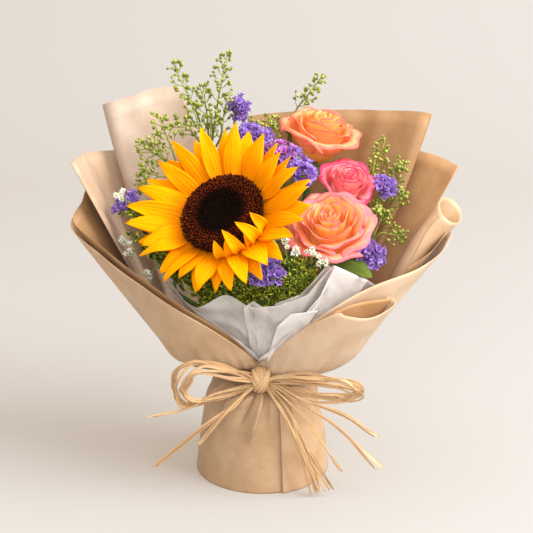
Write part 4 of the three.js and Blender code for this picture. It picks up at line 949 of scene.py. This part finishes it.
# Roses: rings of petals, each lapped over the next, rolled tighter towards the middle.
# A ring: petals, first degrees, width in degrees, and as shares of the size: radius at the rim,
# top, radius at the base, flare, ruffle
HEART = [(2, 20, 175, 0.07, 0.46, 0.06, 0.0, 0.02), (3, 80, 150, 0.15, 0.47, 0.10, 0.01, 0.03),
         (3, 20, 146, 0.25, 0.47, 0.17, 0.03, 0.04), (4, 75, 126, 0.37, 0.44, 0.24, 0.05, 0.05)]
ROSES = [
    dict(name="rose_front", material=PEACH, slot="rose_peach", size=37, place=(INNER, 60),
         bloom=Bloom((55.5, -30, 232), (-0.12, -0.52, 0.845)), leaves=[(1.06, -1.0, -0.52)], rings=[
             *HEART, (4, 50, 118, 0.52, 0.38, 0.31, 0.08, 0.06), (5, 20, 100, 0.68, 0.26, 0.37, 0.13, 0.08),
             (5, 55, 100, 0.82, 0.08, 0.42, 0.18, 0.09)]),
    dict(name="rose_top", material=ORANGE, slot="rose_orange", size=35, place=(BETWEEN, 137),
         bloom=Bloom((51.3, 62, 289), (0.2, -0.12, 0.97)), leaves=[], rings=[
             *HEART, (4, 20, 118, 0.50, 0.38, 0.31, 0.08, 0.06), (4, 50, 116, 0.64, 0.31, 0.37, 0.13, 0.08),
             (5, 15, 100, 0.80, 0.15, 0.44, 0.22, 0.09)]),
    dict(name="rose_pink", material=PINK, slot="rose_pink", size=26, place=(INNER, 111),
         bloom=Bloom((72.5, 22, 254), (0.25, -0.5, 0.82)), leaves=[], rings=[
             *HEART, (4, 15, 120, 0.54, 0.38, 0.31, 0.08, 0.07),
             (5, 40, 104, 0.78, 0.17, 0.40, 0.17, 0.10)]),
]
# The bud's hidden middle: radius and height as shares of the size
ROSE_CORE = np.array([(0.02, -0.82), (0.2, -0.78), (0.42, -0.62), (0.48, -0.4), (0.44, -0.15), (0.02, 0.0)])
ROSE_BOTTOM = -0.82
ROSE_SEPAL = [(1, 4), (9, 4.5), (20, 9)]


def rose_petal(size, at, width, rim, top, base, flare, wave, phase):
    across = np.linspace(-1, 1, 15)[None]
    up = np.linspace(0, 1, 13)[:, None]
    angle = math.radians(at) + across * math.radians(width / 2) * blend(0.62, 1, up)
    radius = blend(base, rim, up**0.8) + flare * smooth(up, 0.72) + 0.025 * np.sin(np.pi * up) * (rim > 0.3)
    tip = 0.03 * np.exp(-((across / 0.25) ** 2)) * (rim > 0.35) - 0.16 * np.abs(across) ** 3
    reflex = 0.10 * flare / 0.14 * smooth(up, 0.86)
    ruffle = wave * size * up**4
    height = (blend(-0.5, top, up**1.15) + tip * up**3 - reflex) * size
    height = height + 0.6 * ruffle * np.sin(3.2 * across + phase)
    radius = radius * size + 1.7 * across * blend(0.7, 1, up)
    radius = radius + 0.5 * ruffle * np.sin(7.1 * across + 2 * phase)
    return np.stack(np.broadcast_arrays(radius * np.cos(angle), radius * np.sin(angle), height), -1)


def make_rose(name, material, slot, size, bloom, place, leaves, rings):
    draw = random.Random(sum(map(ord, name)))
    shape = Shape()
    for count, start, width, rim, top, *rest in rings:
        for k in range(count):
            at = start + 360 * k / count + draw.uniform(-5, 5)
            lifted = top - (k % 2) * 0.03 + draw.uniform(-0.02, 0.02)
            petal = rose_petal(size, at, width, rim, lifted, *rest, draw.uniform(0, 6.28))
            shape.grid(bloom.place(petal), rim + draw.uniform(0, 0.06))
    shape.grid(bloom.place(lathe(ROSE_CORE * size, 24)), 0.3, closed=True)
    shape.make(f"{name}_bloom", material, slot, f"{name}_petals", ROSE_PETAL)
    make_rose_stem(name, size, bloom, place, leaves)


def make_rose_stem(name, size, bloom, place, leaves):
    green = Shape()
    bottom = ROSE_BOTTOM * size - 0.3
    cup = [(0.1, bottom - 7), (2.6, bottom - 7), (4.4, bottom - 4), (3.6, bottom - 0.4), (0.1, bottom)]
    green.grid(bloom.place(lathe(cup, 24)), 0.8, closed=True)
    for i in range(5):
        turn = math.radians(30 + 72 * i)
        rib = [(radius * math.cos(turn), radius * math.sin(turn), bottom - drop)
               for radius, drop in ROSE_SEPAL]
        half = 3.2 * np.sin(np.pi * np.linspace(0.08, 0.98, 10)) ** 0.8
        green.grid(bloom.place(leaf_grid(spline(rib, 10), half, UP, cup=-0.3)), 0.7)
    for end in leaves:
        begin, end = bloom.place([0, 0, -1.05 * size]), bloom.place(np.array(end) * size)
        line = spline([begin, blend(begin, end, 0.5) + 3 * UP, end], 16)
        half = 10 * np.sin(np.pi * np.linspace(0.02, 0.99, 16) ** 0.8) ** 0.8
        green.grid(leaf_grid(line, half, [0, -0.4, 0.9], 9, fold=-0.22, wave=0.5, waves=4), 0.5)
    tube(green, stem_line(place, bloom.place([0, 0, bottom - 5]), bloom.out, 20), ROSE_STEM, 9, 0.8)
    green.make(f"{name}_calyx_and_stem", LEAF, "green_stem", f"{name}_stem")


# Statice: heads of small papery trumpets on stalks.
# A plant: name, place in the tie, fork, heads. A head: colour, centre, facing, width, depth, florets.
STATICE = [
    ("statice_top", (INNER + 0.2, -140), (-9, 28, 262), {
        "statice_top_tip": (VIOLET, (-20, 45, 310), (0.35, -0.1, 0.94), 8, 11, 51),
        "statice_top_head": (VIOLET, (-4, 37, 290), (0.2, -0.4, 0.9), 13, 9, 69)}),
    ("statice_middle", (INNER, 163), (17, 14, 246), {
        "statice_magenta_head": (MAGENTA, (13, 20, 279), (0.1, -0.4, 0.9), 13, 8, 66),
        "statice_middle_head": (VIOLET, (30, 5, 268), (0.3, -0.5, 0.8), 13, 9, 69)}),
    ("statice_left", (OUTER, -91), None, {
        "statice_left_head": (VIOLET, (-114, 3, 239), (-0.4, -0.5, 0.75), 9, 6, 45)}),
    ("statice_low", (OUTER, 8), None, {
        "statice_low_head": (VIOLET, (4, -62, 203), (0, -0.75, 0.65), 12, 9, 66)}),
    ("statice_right", (OUTER, 60), (80, -4, 196), {
        "statice_right_head": (VIOLET, (104, 30, 247), (0.3, -0.6, 0.75), 9, 8, 51),
        "statice_low_right_head": (VIOLET, (92, -20, 200), (0.35, -0.75, 0.55), 11, 9, 63)}),
]
FLORET_SIZE = (2.4, 4.9)
# A trumpet's rings: height, radius and mark
TRUMPET = [(-1.3, 0.12, 0.0), (-0.5, 0.32, 0.35), (-0.05, 0.72, 0.7), (0.1, 1.0, 1.0)]


def trumpets(shape, at, way, size, rng, lobes=5, notch=0.34):
    """Small open flowers, each a ruffled cone with a pale throat."""
    count, around = len(at), 2 * lobes
    way = unit(way)
    side = unit(np.cross(way, [0.37, 0.21, 0.9]))
    odd = np.arange(around) % 2
    ring = circle(round_steps(around)[None] + rng.uniform(0, 6.28, (count, 1)), side, np.cross(way, side))
    points = []
    for height, radius, mark in TRUMPET:
        open_part = mark > 0.5
        radius = radius * np.where(odd, 1.0, 1 - notch * (mark == 1))
        radius = radius * (1 + rng.uniform(-0.13, 0.13, (count, around)) * open_part)
        height = height + (np.where(odd, 0.12, -0.1) + rng.uniform(-0.1, 0.1, (count, around))) * open_part
        wide, high = (size[:, None] * radius)[..., None], (size[:, None] * height)[..., None]
        points.append(at[:, None] + wide * ring + high * way[:, None])
    along = np.repeat([mark for *_, mark in TRUMPET], around)
    across = np.tile(np.arange(around) / around, len(TRUMPET))
    faces = quads(len(TRUMPET), around)
    shape.many(np.concatenate(points, 1), faces, rng.uniform(0.2, 1, count), along, across)


def make_head(name, colour, bloom, wide, deep, count):
    """Makes a head's florets and gives back the place of each."""
    rng = seeded(name)
    share, away = spiral(count)
    high = (1 - 1.4 * share)[:, None]
    way = away * np.sqrt(1 - high * high) + high * UP
    lumps = rng.uniform(-0.55, 0.55, (4, 3)) * [wide, wide, deep]
    at = way * [wide * 0.86, wide * 0.86, deep] * rng.uniform(0.6, 1.2, (count, 1))
    at = at + lumps[rng.integers(0, 4, count)]
    facing = (way + [0, 0, 0.35] + rng.uniform(-0.3, 0.3, (count, 3))) @ bloom.basis
    shape = Shape()
    trumpets(shape, bloom.place(at), facing, rng.uniform(*FLORET_SIZE, count), rng)
    slot = "statice_magenta" if colour is MAGENTA else "statice_violet"
    shape.make(f"{name}_florets", colour, slot, name)
    return at


def make_statice(name, place, fork, heads):
    green = Shape()
    seats = []
    for head, (colour, centre, facing, wide, deep, count) in heads.items():
        bloom = Bloom(centre, facing)
        seats.append((bloom.place([0, 0, -0.7 * deep - 0.6]), bloom.out))
        for point in make_head(head, colour, bloom, wide, deep, count)[::2]:
            tube(green, [bloom.place([0, 0, -0.6 * deep]), bloom.place(point * 0.72)], 0.6, 4, 0.6)
    main, way = (np.array(fork), UP) if fork else seats[0]
    tube(green, stem_line(place, main, way, 14), STATICE_STEM, 7, 0.8)
    if fork:
        for seat, out in seats:
            branch(green, [main - UP, blend(main, seat, 0.5), seat - 3 * out, seat], 12, 1.2, 6)
    green.make(f"{name}_stems", STEM, "green_stem", f"{name}_stem")


# Seed-pod sprays: name, place in the tie, fork, and stems with their low end, top and twigs
SPRAYS = [
    ("seed_spray_back_left", (OUTER - 0.4, -146), (-45, 46, 272), [
        [(-55, 46, 306), (-75, 42, 352), 15], [(-38, 46, 315), (-29, 42, 361), 15],
        [(-47, 47, 305), (-50, 46, 331), 10], [(-58, 42, 290), (-71, 38, 302), 8],
        [(-50, 42, 284), (-60, 40, 318), 11], [(-36, 44, 286), (-30, 40, 322), 11],
        [(-44, 40, 282), (-43, 36, 310), 11]]),
    ("seed_spray_left", (BETWEEN - 0.2, -116), (-70, 33, 258), [
        [(-76, 32, 278), (-88, 28, 311), 12], [(-84, 28, 272), (-103, 20, 287), 11],
        [(-86, 24, 258), (-103, 18, 266), 10], [(-84, 26, 250), (-104, 18, 252), 10],
        [(-80, 26, 266), (-92, 20, 296), 10]]),
    ("seed_spray_back_right", (OUTER, 163), (24, 95, 280), [
        [(30, 98, 298), (53, 98, 329), 15], [(16, 90, 285), (8, 84, 292), 7]]),
    ("seed_spray_right", (OUTER, 111), (88, 40, 216), [
        [(100, 56, 250), (106, 60, 279), 12], [(110, 50, 240), (121, 44, 266), 14],
        [(108, 38, 224), (121, 34, 240), 11], [(92, 44, 232), (98, 50, 268), 11]]),
    ("seed_spray_low_right", (BETWEEN, 86), (92, 8, 202), [
        [(100, 8, 212), (119, 4, 212), 11], [(98, 14, 215), (104, 16, 229), 10],
        [(96, 20, 212), (99, 26, 236), 10]]),
    ("seed_spray_middle", (BETWEEN - 0.2, -175), (-4, 56, 272), [
        [(-6, 57, 282), (-10, 60, 297), 8], [(2, 58, 282), (10, 60, 294), 8]]),
]
POD_LEVELS = [(-1.1, 0.15, 0), (-0.5, 0.86, 0.25), (0.25, 1.0, 0.5), (0.9, 0.62, 0.75), (1.4, 0.05, 1)]
POD_SIZE = (1.05, 1.8)
TWIG_REACH = 10.5
TWIG_RADIUS = 0.32
SIDE_TWIG_LENGTH = (2.6, 5)


def pods(shape, at, size, rng):
    way = unit(rng.normal(size=(len(at), 3)) + [0, 0, 1.2])
    side = unit(np.cross(way, [0.2, 0.9, 0.1]))
    small_bodies(shape, at, way, side, size, size, POD_LEVELS, 6, rng.uniform(0.2, 1, len(at)))


def make_spray(name, place, fork, stems):
    rng = seeded(name)
    shape = Shape()
    tube(shape, stem_line(place, fork, UP, 10), THIN_STEM, 6, 0.5)
    for low, high, twigs in stems:
        low, high = np.array(low, float), np.array(high, float)
        line = [fork - 2 * UP, low, blend(low, high, 0.5), high]
        branch(shape, line, 24, np.linspace(1.2, 0.45, 24), 5, 0.6)
        along = unit(high - low)
        side = unit(np.cross(along, [0, 1, 0]))
        over = np.cross(along, side)
        ends = []
        for i in range(twigs):
            share = 0.06 + 0.92 * i / twigs
            turn = i * GOLDEN_ANGLE + rng.uniform(-0.4, 0.4)
            reach = TWIG_REACH * blend(1.2, 0.45, share) * rng.uniform(0.6, 1.2)
            root = blend(low, high, share)
            way = unit(0.75 * along + math.cos(turn) * side + 0.8 * math.sin(turn) * over)
            tip = root + way * reach + along * reach * 0.25
            branch(shape, [root, root + way * reach * 0.55, tip], 6, TWIG_RADIUS, 4)
            ends.append(tip)
            for fork_share in (0.45, 0.70):
                start = blend(root, tip, fork_share)
                end = start + unit(way + rng.normal(size=3) * 0.6) * rng.uniform(*SIDE_TWIG_LENGTH)
                tube(shape, [start, end], 0.25, 3, 0.8)
                ends.append(end)
        ends.append(high)
        pods(shape, np.array(ends), rng.uniform(*POD_SIZE, len(ends)), rng)
    shape.make(f"{name}_pods", POD, "green_stem", name)


# Green filler: twigs of a tuft, leaves of a twig, flowers of a cluster
TWIGS, NEEDLES, WHITES = 21, 32, 5
TWIG_LENGTH, NEEDLE_LENGTH, NEEDLE_HALF, WHITE_SIZE = (10, 19), (2.8, 6.4), (0.65, 1.35), (2.3, 3.7)
# Name, place in the tie, fork, tufts, and clusters of white flowers
GREENS = [
    ("green_filler_left", (BETWEEN, -65), (-72, -22, 182), [
        (-98, -12, 212), (-88, -30, 196), (-90, 2, 224), (-74, -30, 186), (-101, -4, 234), (-84, -34, 206)],
     [(-117, -8, 252), (-116, -18, 214), (-109, -24, 205), (-94, -36, 190)]),
    ("green_filler_front_left", (OUTER, -43), (-20, -34, 160), [
        (-42, -40, 188), (-28, -48, 186), (-14, -50, 184), (-16, -44, 194), (-56, -34, 182),
        (-46, -34, 174), (-4, -42, 178), (-60, -36, 208), (-48, -42, 200), (-60, -30, 180),
        (-52, -34, 172)], []),
    ("green_filler_front_right", (BETWEEN, 34), (26, -38, 166), [
        (18, -48, 184), (29, -52, 198), (44, -42, 190), (10, -48, 190), (34, -40, 178), (22, -54, 204),
        (40, -50, 202), (6, -40, 171), (20, -44, 175)],
     [(18, -70, 230), (28, -74, 223), (40, -77, 225), (48, -71, 214)]),
]


def kept_inside(points):
    """Leaf tips stay inside the tissue, and at the left inside the paper, which both flare upwards."""
    x, y, height = points.T
    limit = np.where(x < -34, 36 + 0.5 * (height - 104), 27 + 0.42 * (height - 107))
    reach = np.hypot(x, y)
    pull = np.where((height < 204) & (reach > limit), limit / np.maximum(reach, 1), 1)
    return points * np.stack([pull, pull, np.ones_like(pull)], -1)


def needles(shape, root, tip, half, rng):
    """Many small leaves, each of four triangles folded at its rib."""
    way = unit(tip - root)
    side = unit(np.cross(way, [0.1, -0.5, 0.8] + rng.normal(size=root.shape) * 0.5))
    face = np.cross(side, way) * half[:, None]
    side = side * half[:, None]
    middle = blend(root, tip, 0.55)
    points = np.stack([root, middle - side, middle - face * 0.35, middle + side, tip], 1)
    faces = [[0, 1, 2], [1, 4, 2], [0, 2, 3], [2, 4, 3]]
    shape.many(points, faces, rng.uniform(0, 1, len(root)), [0, 0.55, 0.55, 0.55, 1])


def tuft(leaves, stems, fork, centre, rng):
    """Leafy twigs that spread from a stalk between the fork and the tuft's centre."""
    branch(stems, [fork - 2 * UP, blend(fork, centre, 0.6), centre], 12, 1.1, 5, 0.6)
    for _ in range(TWIGS):
        start = blend(fork, centre, rng.uniform(0.35, 1))
        way = unit(rng.normal(size=3) * [1, 1, 0.6] + [0, -0.15, 0.65])
        end = kept_inside((start + way * rng.uniform(*TWIG_LENGTH))[None])[0]
        twig = spline([start, blend(start, end, 0.5) - 0.8 * UP, end], 10)
        tube(stems, twig, 0.38, 4, 0.7)
        root = twig[rng.integers(1, 10, NEEDLES)]
        push = unit(unit(end - start) * 1.1 + rng.normal(size=(NEEDLES, 3)) * 0.6)
        tips = kept_inside(root + push * rng.uniform(*NEEDLE_LENGTH, (NEEDLES, 1)))
        needles(leaves, root, tips, rng.uniform(*NEEDLE_HALF, NEEDLES), rng)


def white_cluster(flowers, stems, nearest, at, rng):
    """A few white flowers on a stalk from the nearest tuft."""
    branch(stems, [nearest, blend(nearest, at, 0.6) - 2 * UP, at - [0, -0.5, 1]], 10, 0.5, 5)
    cluster = at + rng.normal(size=(WHITES, 3)) * [2.3, 1.6, 2.1]
    cluster[0] = at
    for point in cluster[1:]:
        middle = blend(at, point, 0.5) - [0, -1, 3]
        branch(stems, [blend(nearest, at, 0.75), middle, point], 6, TWIG_RADIUS, 4)
    facing = np.array([0, -0.7, 0.7]) + rng.normal(size=(WHITES, 3)) * 0.4
    trumpets(flowers, cluster, facing, rng.uniform(*WHITE_SIZE, WHITES), rng, lobes=6, notch=0.476)


def make_green(name, place, fork, tufts, whites):
    rng = seeded(name)
    leaves, stems, flowers = Shape(), Shape(), Shape()
    fork, tufts = np.array(fork, float), np.array(tufts, float)
    tube(stems, stem_line(place, fork, UP, 12), THIN_STEM, 6, 0.5)
    for centre in tufts:
        tuft(leaves, stems, fork, centre, rng)
    for at in np.array(whites, float):
        nearest = min(tufts, key=lambda centre: np.linalg.norm(centre - at))
        white_cluster(flowers, stems, nearest, at, rng)
    leaves.make(f"{name}_leaves", MOSS, "green_filler", name)
    stems.make(f"{name}_stems", STEM, "green_filler", name)
    if whites:
        flowers.make(f"{name}_white_flowers", WHITE, "green_filler", name)


# Raffia
KNOT = (0, -33.9, 94)
KNOT_BALL = (-0.8, -36.5, 96.8)
KNOT_HALF = (9.3, 6.8, 10.4)
# Turns of the knot: tilt in degrees, shift and half width as shares of the ball, rise above it
KNOT_TURNS = [
    (-6, -0.95, 0.20, 0.00), (4, -0.72, 0.17, 0.02), (-3, -0.48, 0.16, 0.00), (5, -0.26, 0.15, 0.03),
    (-2, -0.02, 0.17, 0.01), (3, 0.22, 0.16, 0.03), (-5, 0.46, 0.17, 0.00), (4, 0.70, 0.17, 0.02),
    (-3, 0.95, 0.20, 0.00), (88, 0.1, 0.3, -0.04), (34, -0.34, 0.15, 0.09), (40, -0.08, 0.17, 0.10),
    (30, 0.16, 0.14, 0.08), (46, -0.62, 0.16, 0.07), (26, 0.42, 0.13, 0.07), (-30, 0.36, 0.15, 0.15),
    (-22, 0.60, 0.14, 0.14), (-36, 0.05, 0.12, 0.15), (62, 0.55, 0.16, 0.05),
]
LOOPS = [
    [(-10, -39, 100), (-33, -49, 113), (-56, -58, 121), (-69, -58, 112), (-74, -54, 93), (-64, -50, 78),
     (-40, -45, 84), (-10, -38, 92)],
    [(-9, -39, 98), (-30, -50, 108), (-52, -60, 113), (-63, -60, 104), (-66, -56, 92), (-56, -52, 84),
     (-36, -46, 87), (-9, -37, 91)],
    [(8, -39, 99), (32, -54, 106), (57, -66, 109), (80, -64, 102), (82, -60, 92), (66, -54, 86),
     (40, -47, 88), (10, -38, 91)],
    [(9, -38, 97), (34, -52, 102), (60, -63, 103), (77, -61, 97), (74, -57, 90), (56, -52, 87),
     (32, -45, 89), (9, -37, 92)],
]
TAILS = [
    [(-10, -40, 93), (-40, -50, 89), (-61, -52, 78), (-93, -52, 69)],
    [(-9, -41, 91), (-26, -54, 79), (-48, -60, 65), (-91, -56, 25)],
    [(-7, -41, 92), (-24, -55, 81), (-42, -62, 63), (-54, -64, 48)],
    [(5, -42, 90), (18, -58, 75), (30, -65, 50), (46, -65, 4)],
    [(8, -42, 90), (23, -58, 75), (37, -65, 48), (55, -63, 6)],
    [(10, -42, 91), (28, -56, 78), (47, -62, 54), (68, -60, 22)],
    [(12, -40, 93), (36, -54, 85), (67, -58, 74), (99, -56, 52)],
    [(11, -41, 92), (34, -55, 81), (63, -60, 64), (103, -58, 24)],
]
LOOP_FIBRES = 5
LOOP_WIDTH, TAIL_WIDTH = (1.2, 3.0), (1.0, 2.3)
BAND_TURNS = 7
BAND_RADIUS = 28.0
BAND_LOW, BAND_HIGH = 90.2, 95.4
BAND_HALF = 1.1
FLOOR_GAP = 2.5
# Places across a fibre, from one edge to the other
FIBRE_ACROSS = np.linspace(-1, 1, 6)[None, :, None]


def ribbon(shape, points, width, rng, count, twist):
    """A split palm fibre: a narrow strip, curled across and slowly twisting."""
    line = spline(points, count)
    along = heading(line)
    share = np.linspace(0, 1, count)
    roll = twist * (np.sin(share * rng.uniform(3, 7) + rng.uniform(0, 6)) + rng.uniform(-0.5, 0.5))[:, None]
    side = unit(np.cross(along, [0, -1, 0.25]))
    flat = side * np.cos(roll) + np.cross(along, side) * np.sin(roll)
    half = width / 2 * (1 + 0.15 * np.sin(share * 23 + rng.uniform(0, 6)))
    half = (half * np.interp(share, [0, 0.96, 1], [1, 1, 0.35]))[:, None, None]
    curled = 0.35 * FIBRE_ACROSS**2 * half * np.cross(flat, along)[:, None]
    shape.grid(line[:, None] + flat[:, None] * half * FIBRE_ACROSS + curled, rng.uniform(0, 1))


def knot_turn(shape, tilt, shift, width, rise, tone):
    """One turn of fibre over the front of the knot's ball."""
    along = np.array([-math.sin(tilt), 0, math.cos(tilt)])
    across = np.array([math.cos(tilt), 0, math.sin(tilt)])
    turn = np.radians(np.linspace(-105, 105, 22))[:, None, None]
    place = shift * (0.8 + 0.10 * np.cos(2 * turn)) + width * FIBRE_ACROSS
    away = np.sin(turn) * along + np.cos(turn) * np.array([0, -1, 0]) + place * across
    size = (1 + rise + 0.07 * (1 - FIBRE_ACROSS**2)) * np.array(KNOT_HALF)
    shape.grid(np.array(KNOT_BALL) + unit(away) * size, tone)


def make_bow(rng):
    bow = Shape()
    for points in np.array(LOOPS, float):
        for _ in range(LOOP_FIBRES):
            moved = points + rng.normal(size=points.shape) * [2.4, 1.0, 2.2]
            ribbon(bow, [KNOT, *moved, (0.6, KNOT[1], KNOT[2])], rng.uniform(*LOOP_WIDTH), rng, 60, 0.5)
    for points in np.array(TAILS, float):
        for k in range(5 if points[-1][2] < 10 else 3):
            spread = np.linspace(0.5, 1.6, len(points))[:, None]
            moved = points + rng.normal(size=points.shape) * [1.2, 0.6, 0.9] * spread
            moved[-1] = points[-1] + rng.normal(size=3) * [2.2, 0.6, 0.6] * (0.4 + 0.6 * k)
            moved[:, 2] = np.maximum(moved[:, 2], FLOOR_GAP)
            ribbon(bow, [KNOT, *moved], rng.uniform(*TAIL_WIDTH), rng, 44, 0.7)
    for tilt, *turn in KNOT_TURNS:
        knot_turn(bow, math.radians(tilt), *turn, rng.uniform(0, 1))
    bow.make("raffia_bow_strands", RAFFIA, "raffia", "raffia_bow", FIBRE)


def make_band(rng):
    band = Shape()
    degrees = np.linspace(0, 360, 60)
    turn = np.radians(degrees)
    for k in range(BAND_TURNS):
        height = blend(BAND_LOW, BAND_HIGH, k / (BAND_TURNS - 1)) + 0.8 * np.sin(turn + rng.uniform(0, 6))
        radius = BAND_RADIUS + 0.35 * (k % 2) + 0.25 * np.sin(turn * 3 + k)
        line = polar(radius, degrees, height)
        outward = unit(line * [1, 1, 0])
        strip = line[:, None] + BAND_HALF * FIBRE_ACROSS * UP - outward[:, None] * 0.35 * FIBRE_ACROSS**2
        band.grid(strip, rng.uniform(0, 1))
    band.make("raffia_band_strands", RAFFIA, "raffia", "raffia_band", FIBRE)


def make_raffia():
    rng = np.random.default_rng(11)
    make_bow(rng)
    make_band(rng)


# Camera, floor and lights, in metres
FLOOR_HALF, FLOOR_FRONT, FLOOR_BACK, FLOOR_BEND, FLOOR_TOP = 3.0, -1.5, 0.9, 0.7, 3.0
LIGHTS = [
    # name, place, width and height, power, colour
    ("key", (2.1, -0.75, 2.1), (1.9, 1.9), 176, (1.0, 0.985, 0.96)),
    ("fill", (-0.1, -2.0, 1.2), (1.6, 1.2), 27, (1.0, 0.98, 0.95)),
    ("top", (0.1, 0.1, 2.0), (1.4, 1.2), 15, (1.0, 0.99, 0.975)),
]
LIGHT_AIM = (0, 0, 0.18)
WORLD_COLOUR, WORLD_STRENGTH = (1.0, 0.985, 0.965, 1), 0.82


def make_camera():
    data = bpy.data.cameras.new("view")
    data.sensor_width = SENSOR
    data.lens = FOCAL_PIXELS / IMAGE * SENSOR
    data.clip_end = 20
    camera = link("view", data)
    away = VIEW_DISTANCE * MM * np.array([0, -math.cos(VIEW_ELEVATION), math.sin(VIEW_ELEVATION)])
    camera.location = Vector(metres(VIEW_TARGET) + away)
    camera.rotation_euler = Vector(-away).to_track_quat("-Z", "Y").to_euler()
    bpy.context.scene.camera = camera


def make_stage():
    """A pale floor that bends up into a wall."""
    bend = [(FLOOR_BACK + FLOOR_BEND * math.sin(turn), FLOOR_BEND - FLOOR_BEND * math.cos(turn))
            for turn in np.linspace(0, math.pi / 2, 16)[1:]]
    profile = [(FLOOR_FRONT, 0.0), (FLOOR_BACK, 0.0), *bend, (FLOOR_BACK + FLOOR_BEND, FLOOR_TOP)]
    points = [(x, y, z) for y, z in profile for x in (-FLOOR_HALF, FLOOR_HALF)]
    faces = [(2 * i, 2 * i + 1, 2 * i + 3, 2 * i + 2) for i in range(len(profile) - 1)]
    mesh = bpy.data.meshes.new("studio_floor")
    mesh.from_pydata(points, [], faces)
    mesh.shade_smooth()
    look = Look("studio_floor", (0.225, 0.24, 0.255), roughness=0.9, specular=0.1)
    look.fill(look.shader, {"Emission Color": (1.0, 0.74, 0.50), "Emission Strength": 0.33})
    mesh.materials.append(look.made)
    floor = link("studio_floor", mesh)


def make_lights():
    for name, place, size, power, colour in LIGHTS:
        data = bpy.data.lights.new(name, "AREA")
        data.shape = "RECTANGLE"
        data.size, data.size_y = size
        data.energy = power
        data.color = colour
        light = link(name, data)
        light.location = place
        light.rotation_euler = (Vector(LIGHT_AIM) - Vector(place)).to_track_quat("-Z", "Y").to_euler()
    world = bpy.data.worlds.new("studio")
    world.use_nodes = True
    background = world.node_tree.nodes["Background"]
    background.inputs["Color"].default_value = WORLD_COLOUR
    background.inputs["Strength"].default_value = WORLD_STRENGTH
    bpy.context.scene.world = world
    bpy.context.scene.view_settings.view_transform = "Standard"


make_camera()
make_stage()
make_lights()
make_wrap()
make_roll()
make_sleeve()
make_raffia()
make_sunflower()
for rose in ROSES:
    make_rose(**rose)
for plant in STATICE:
    make_statice(*plant)
for spray in SPRAYS:
    make_spray(*spray)
for green in GREENS:
    make_green(*green)
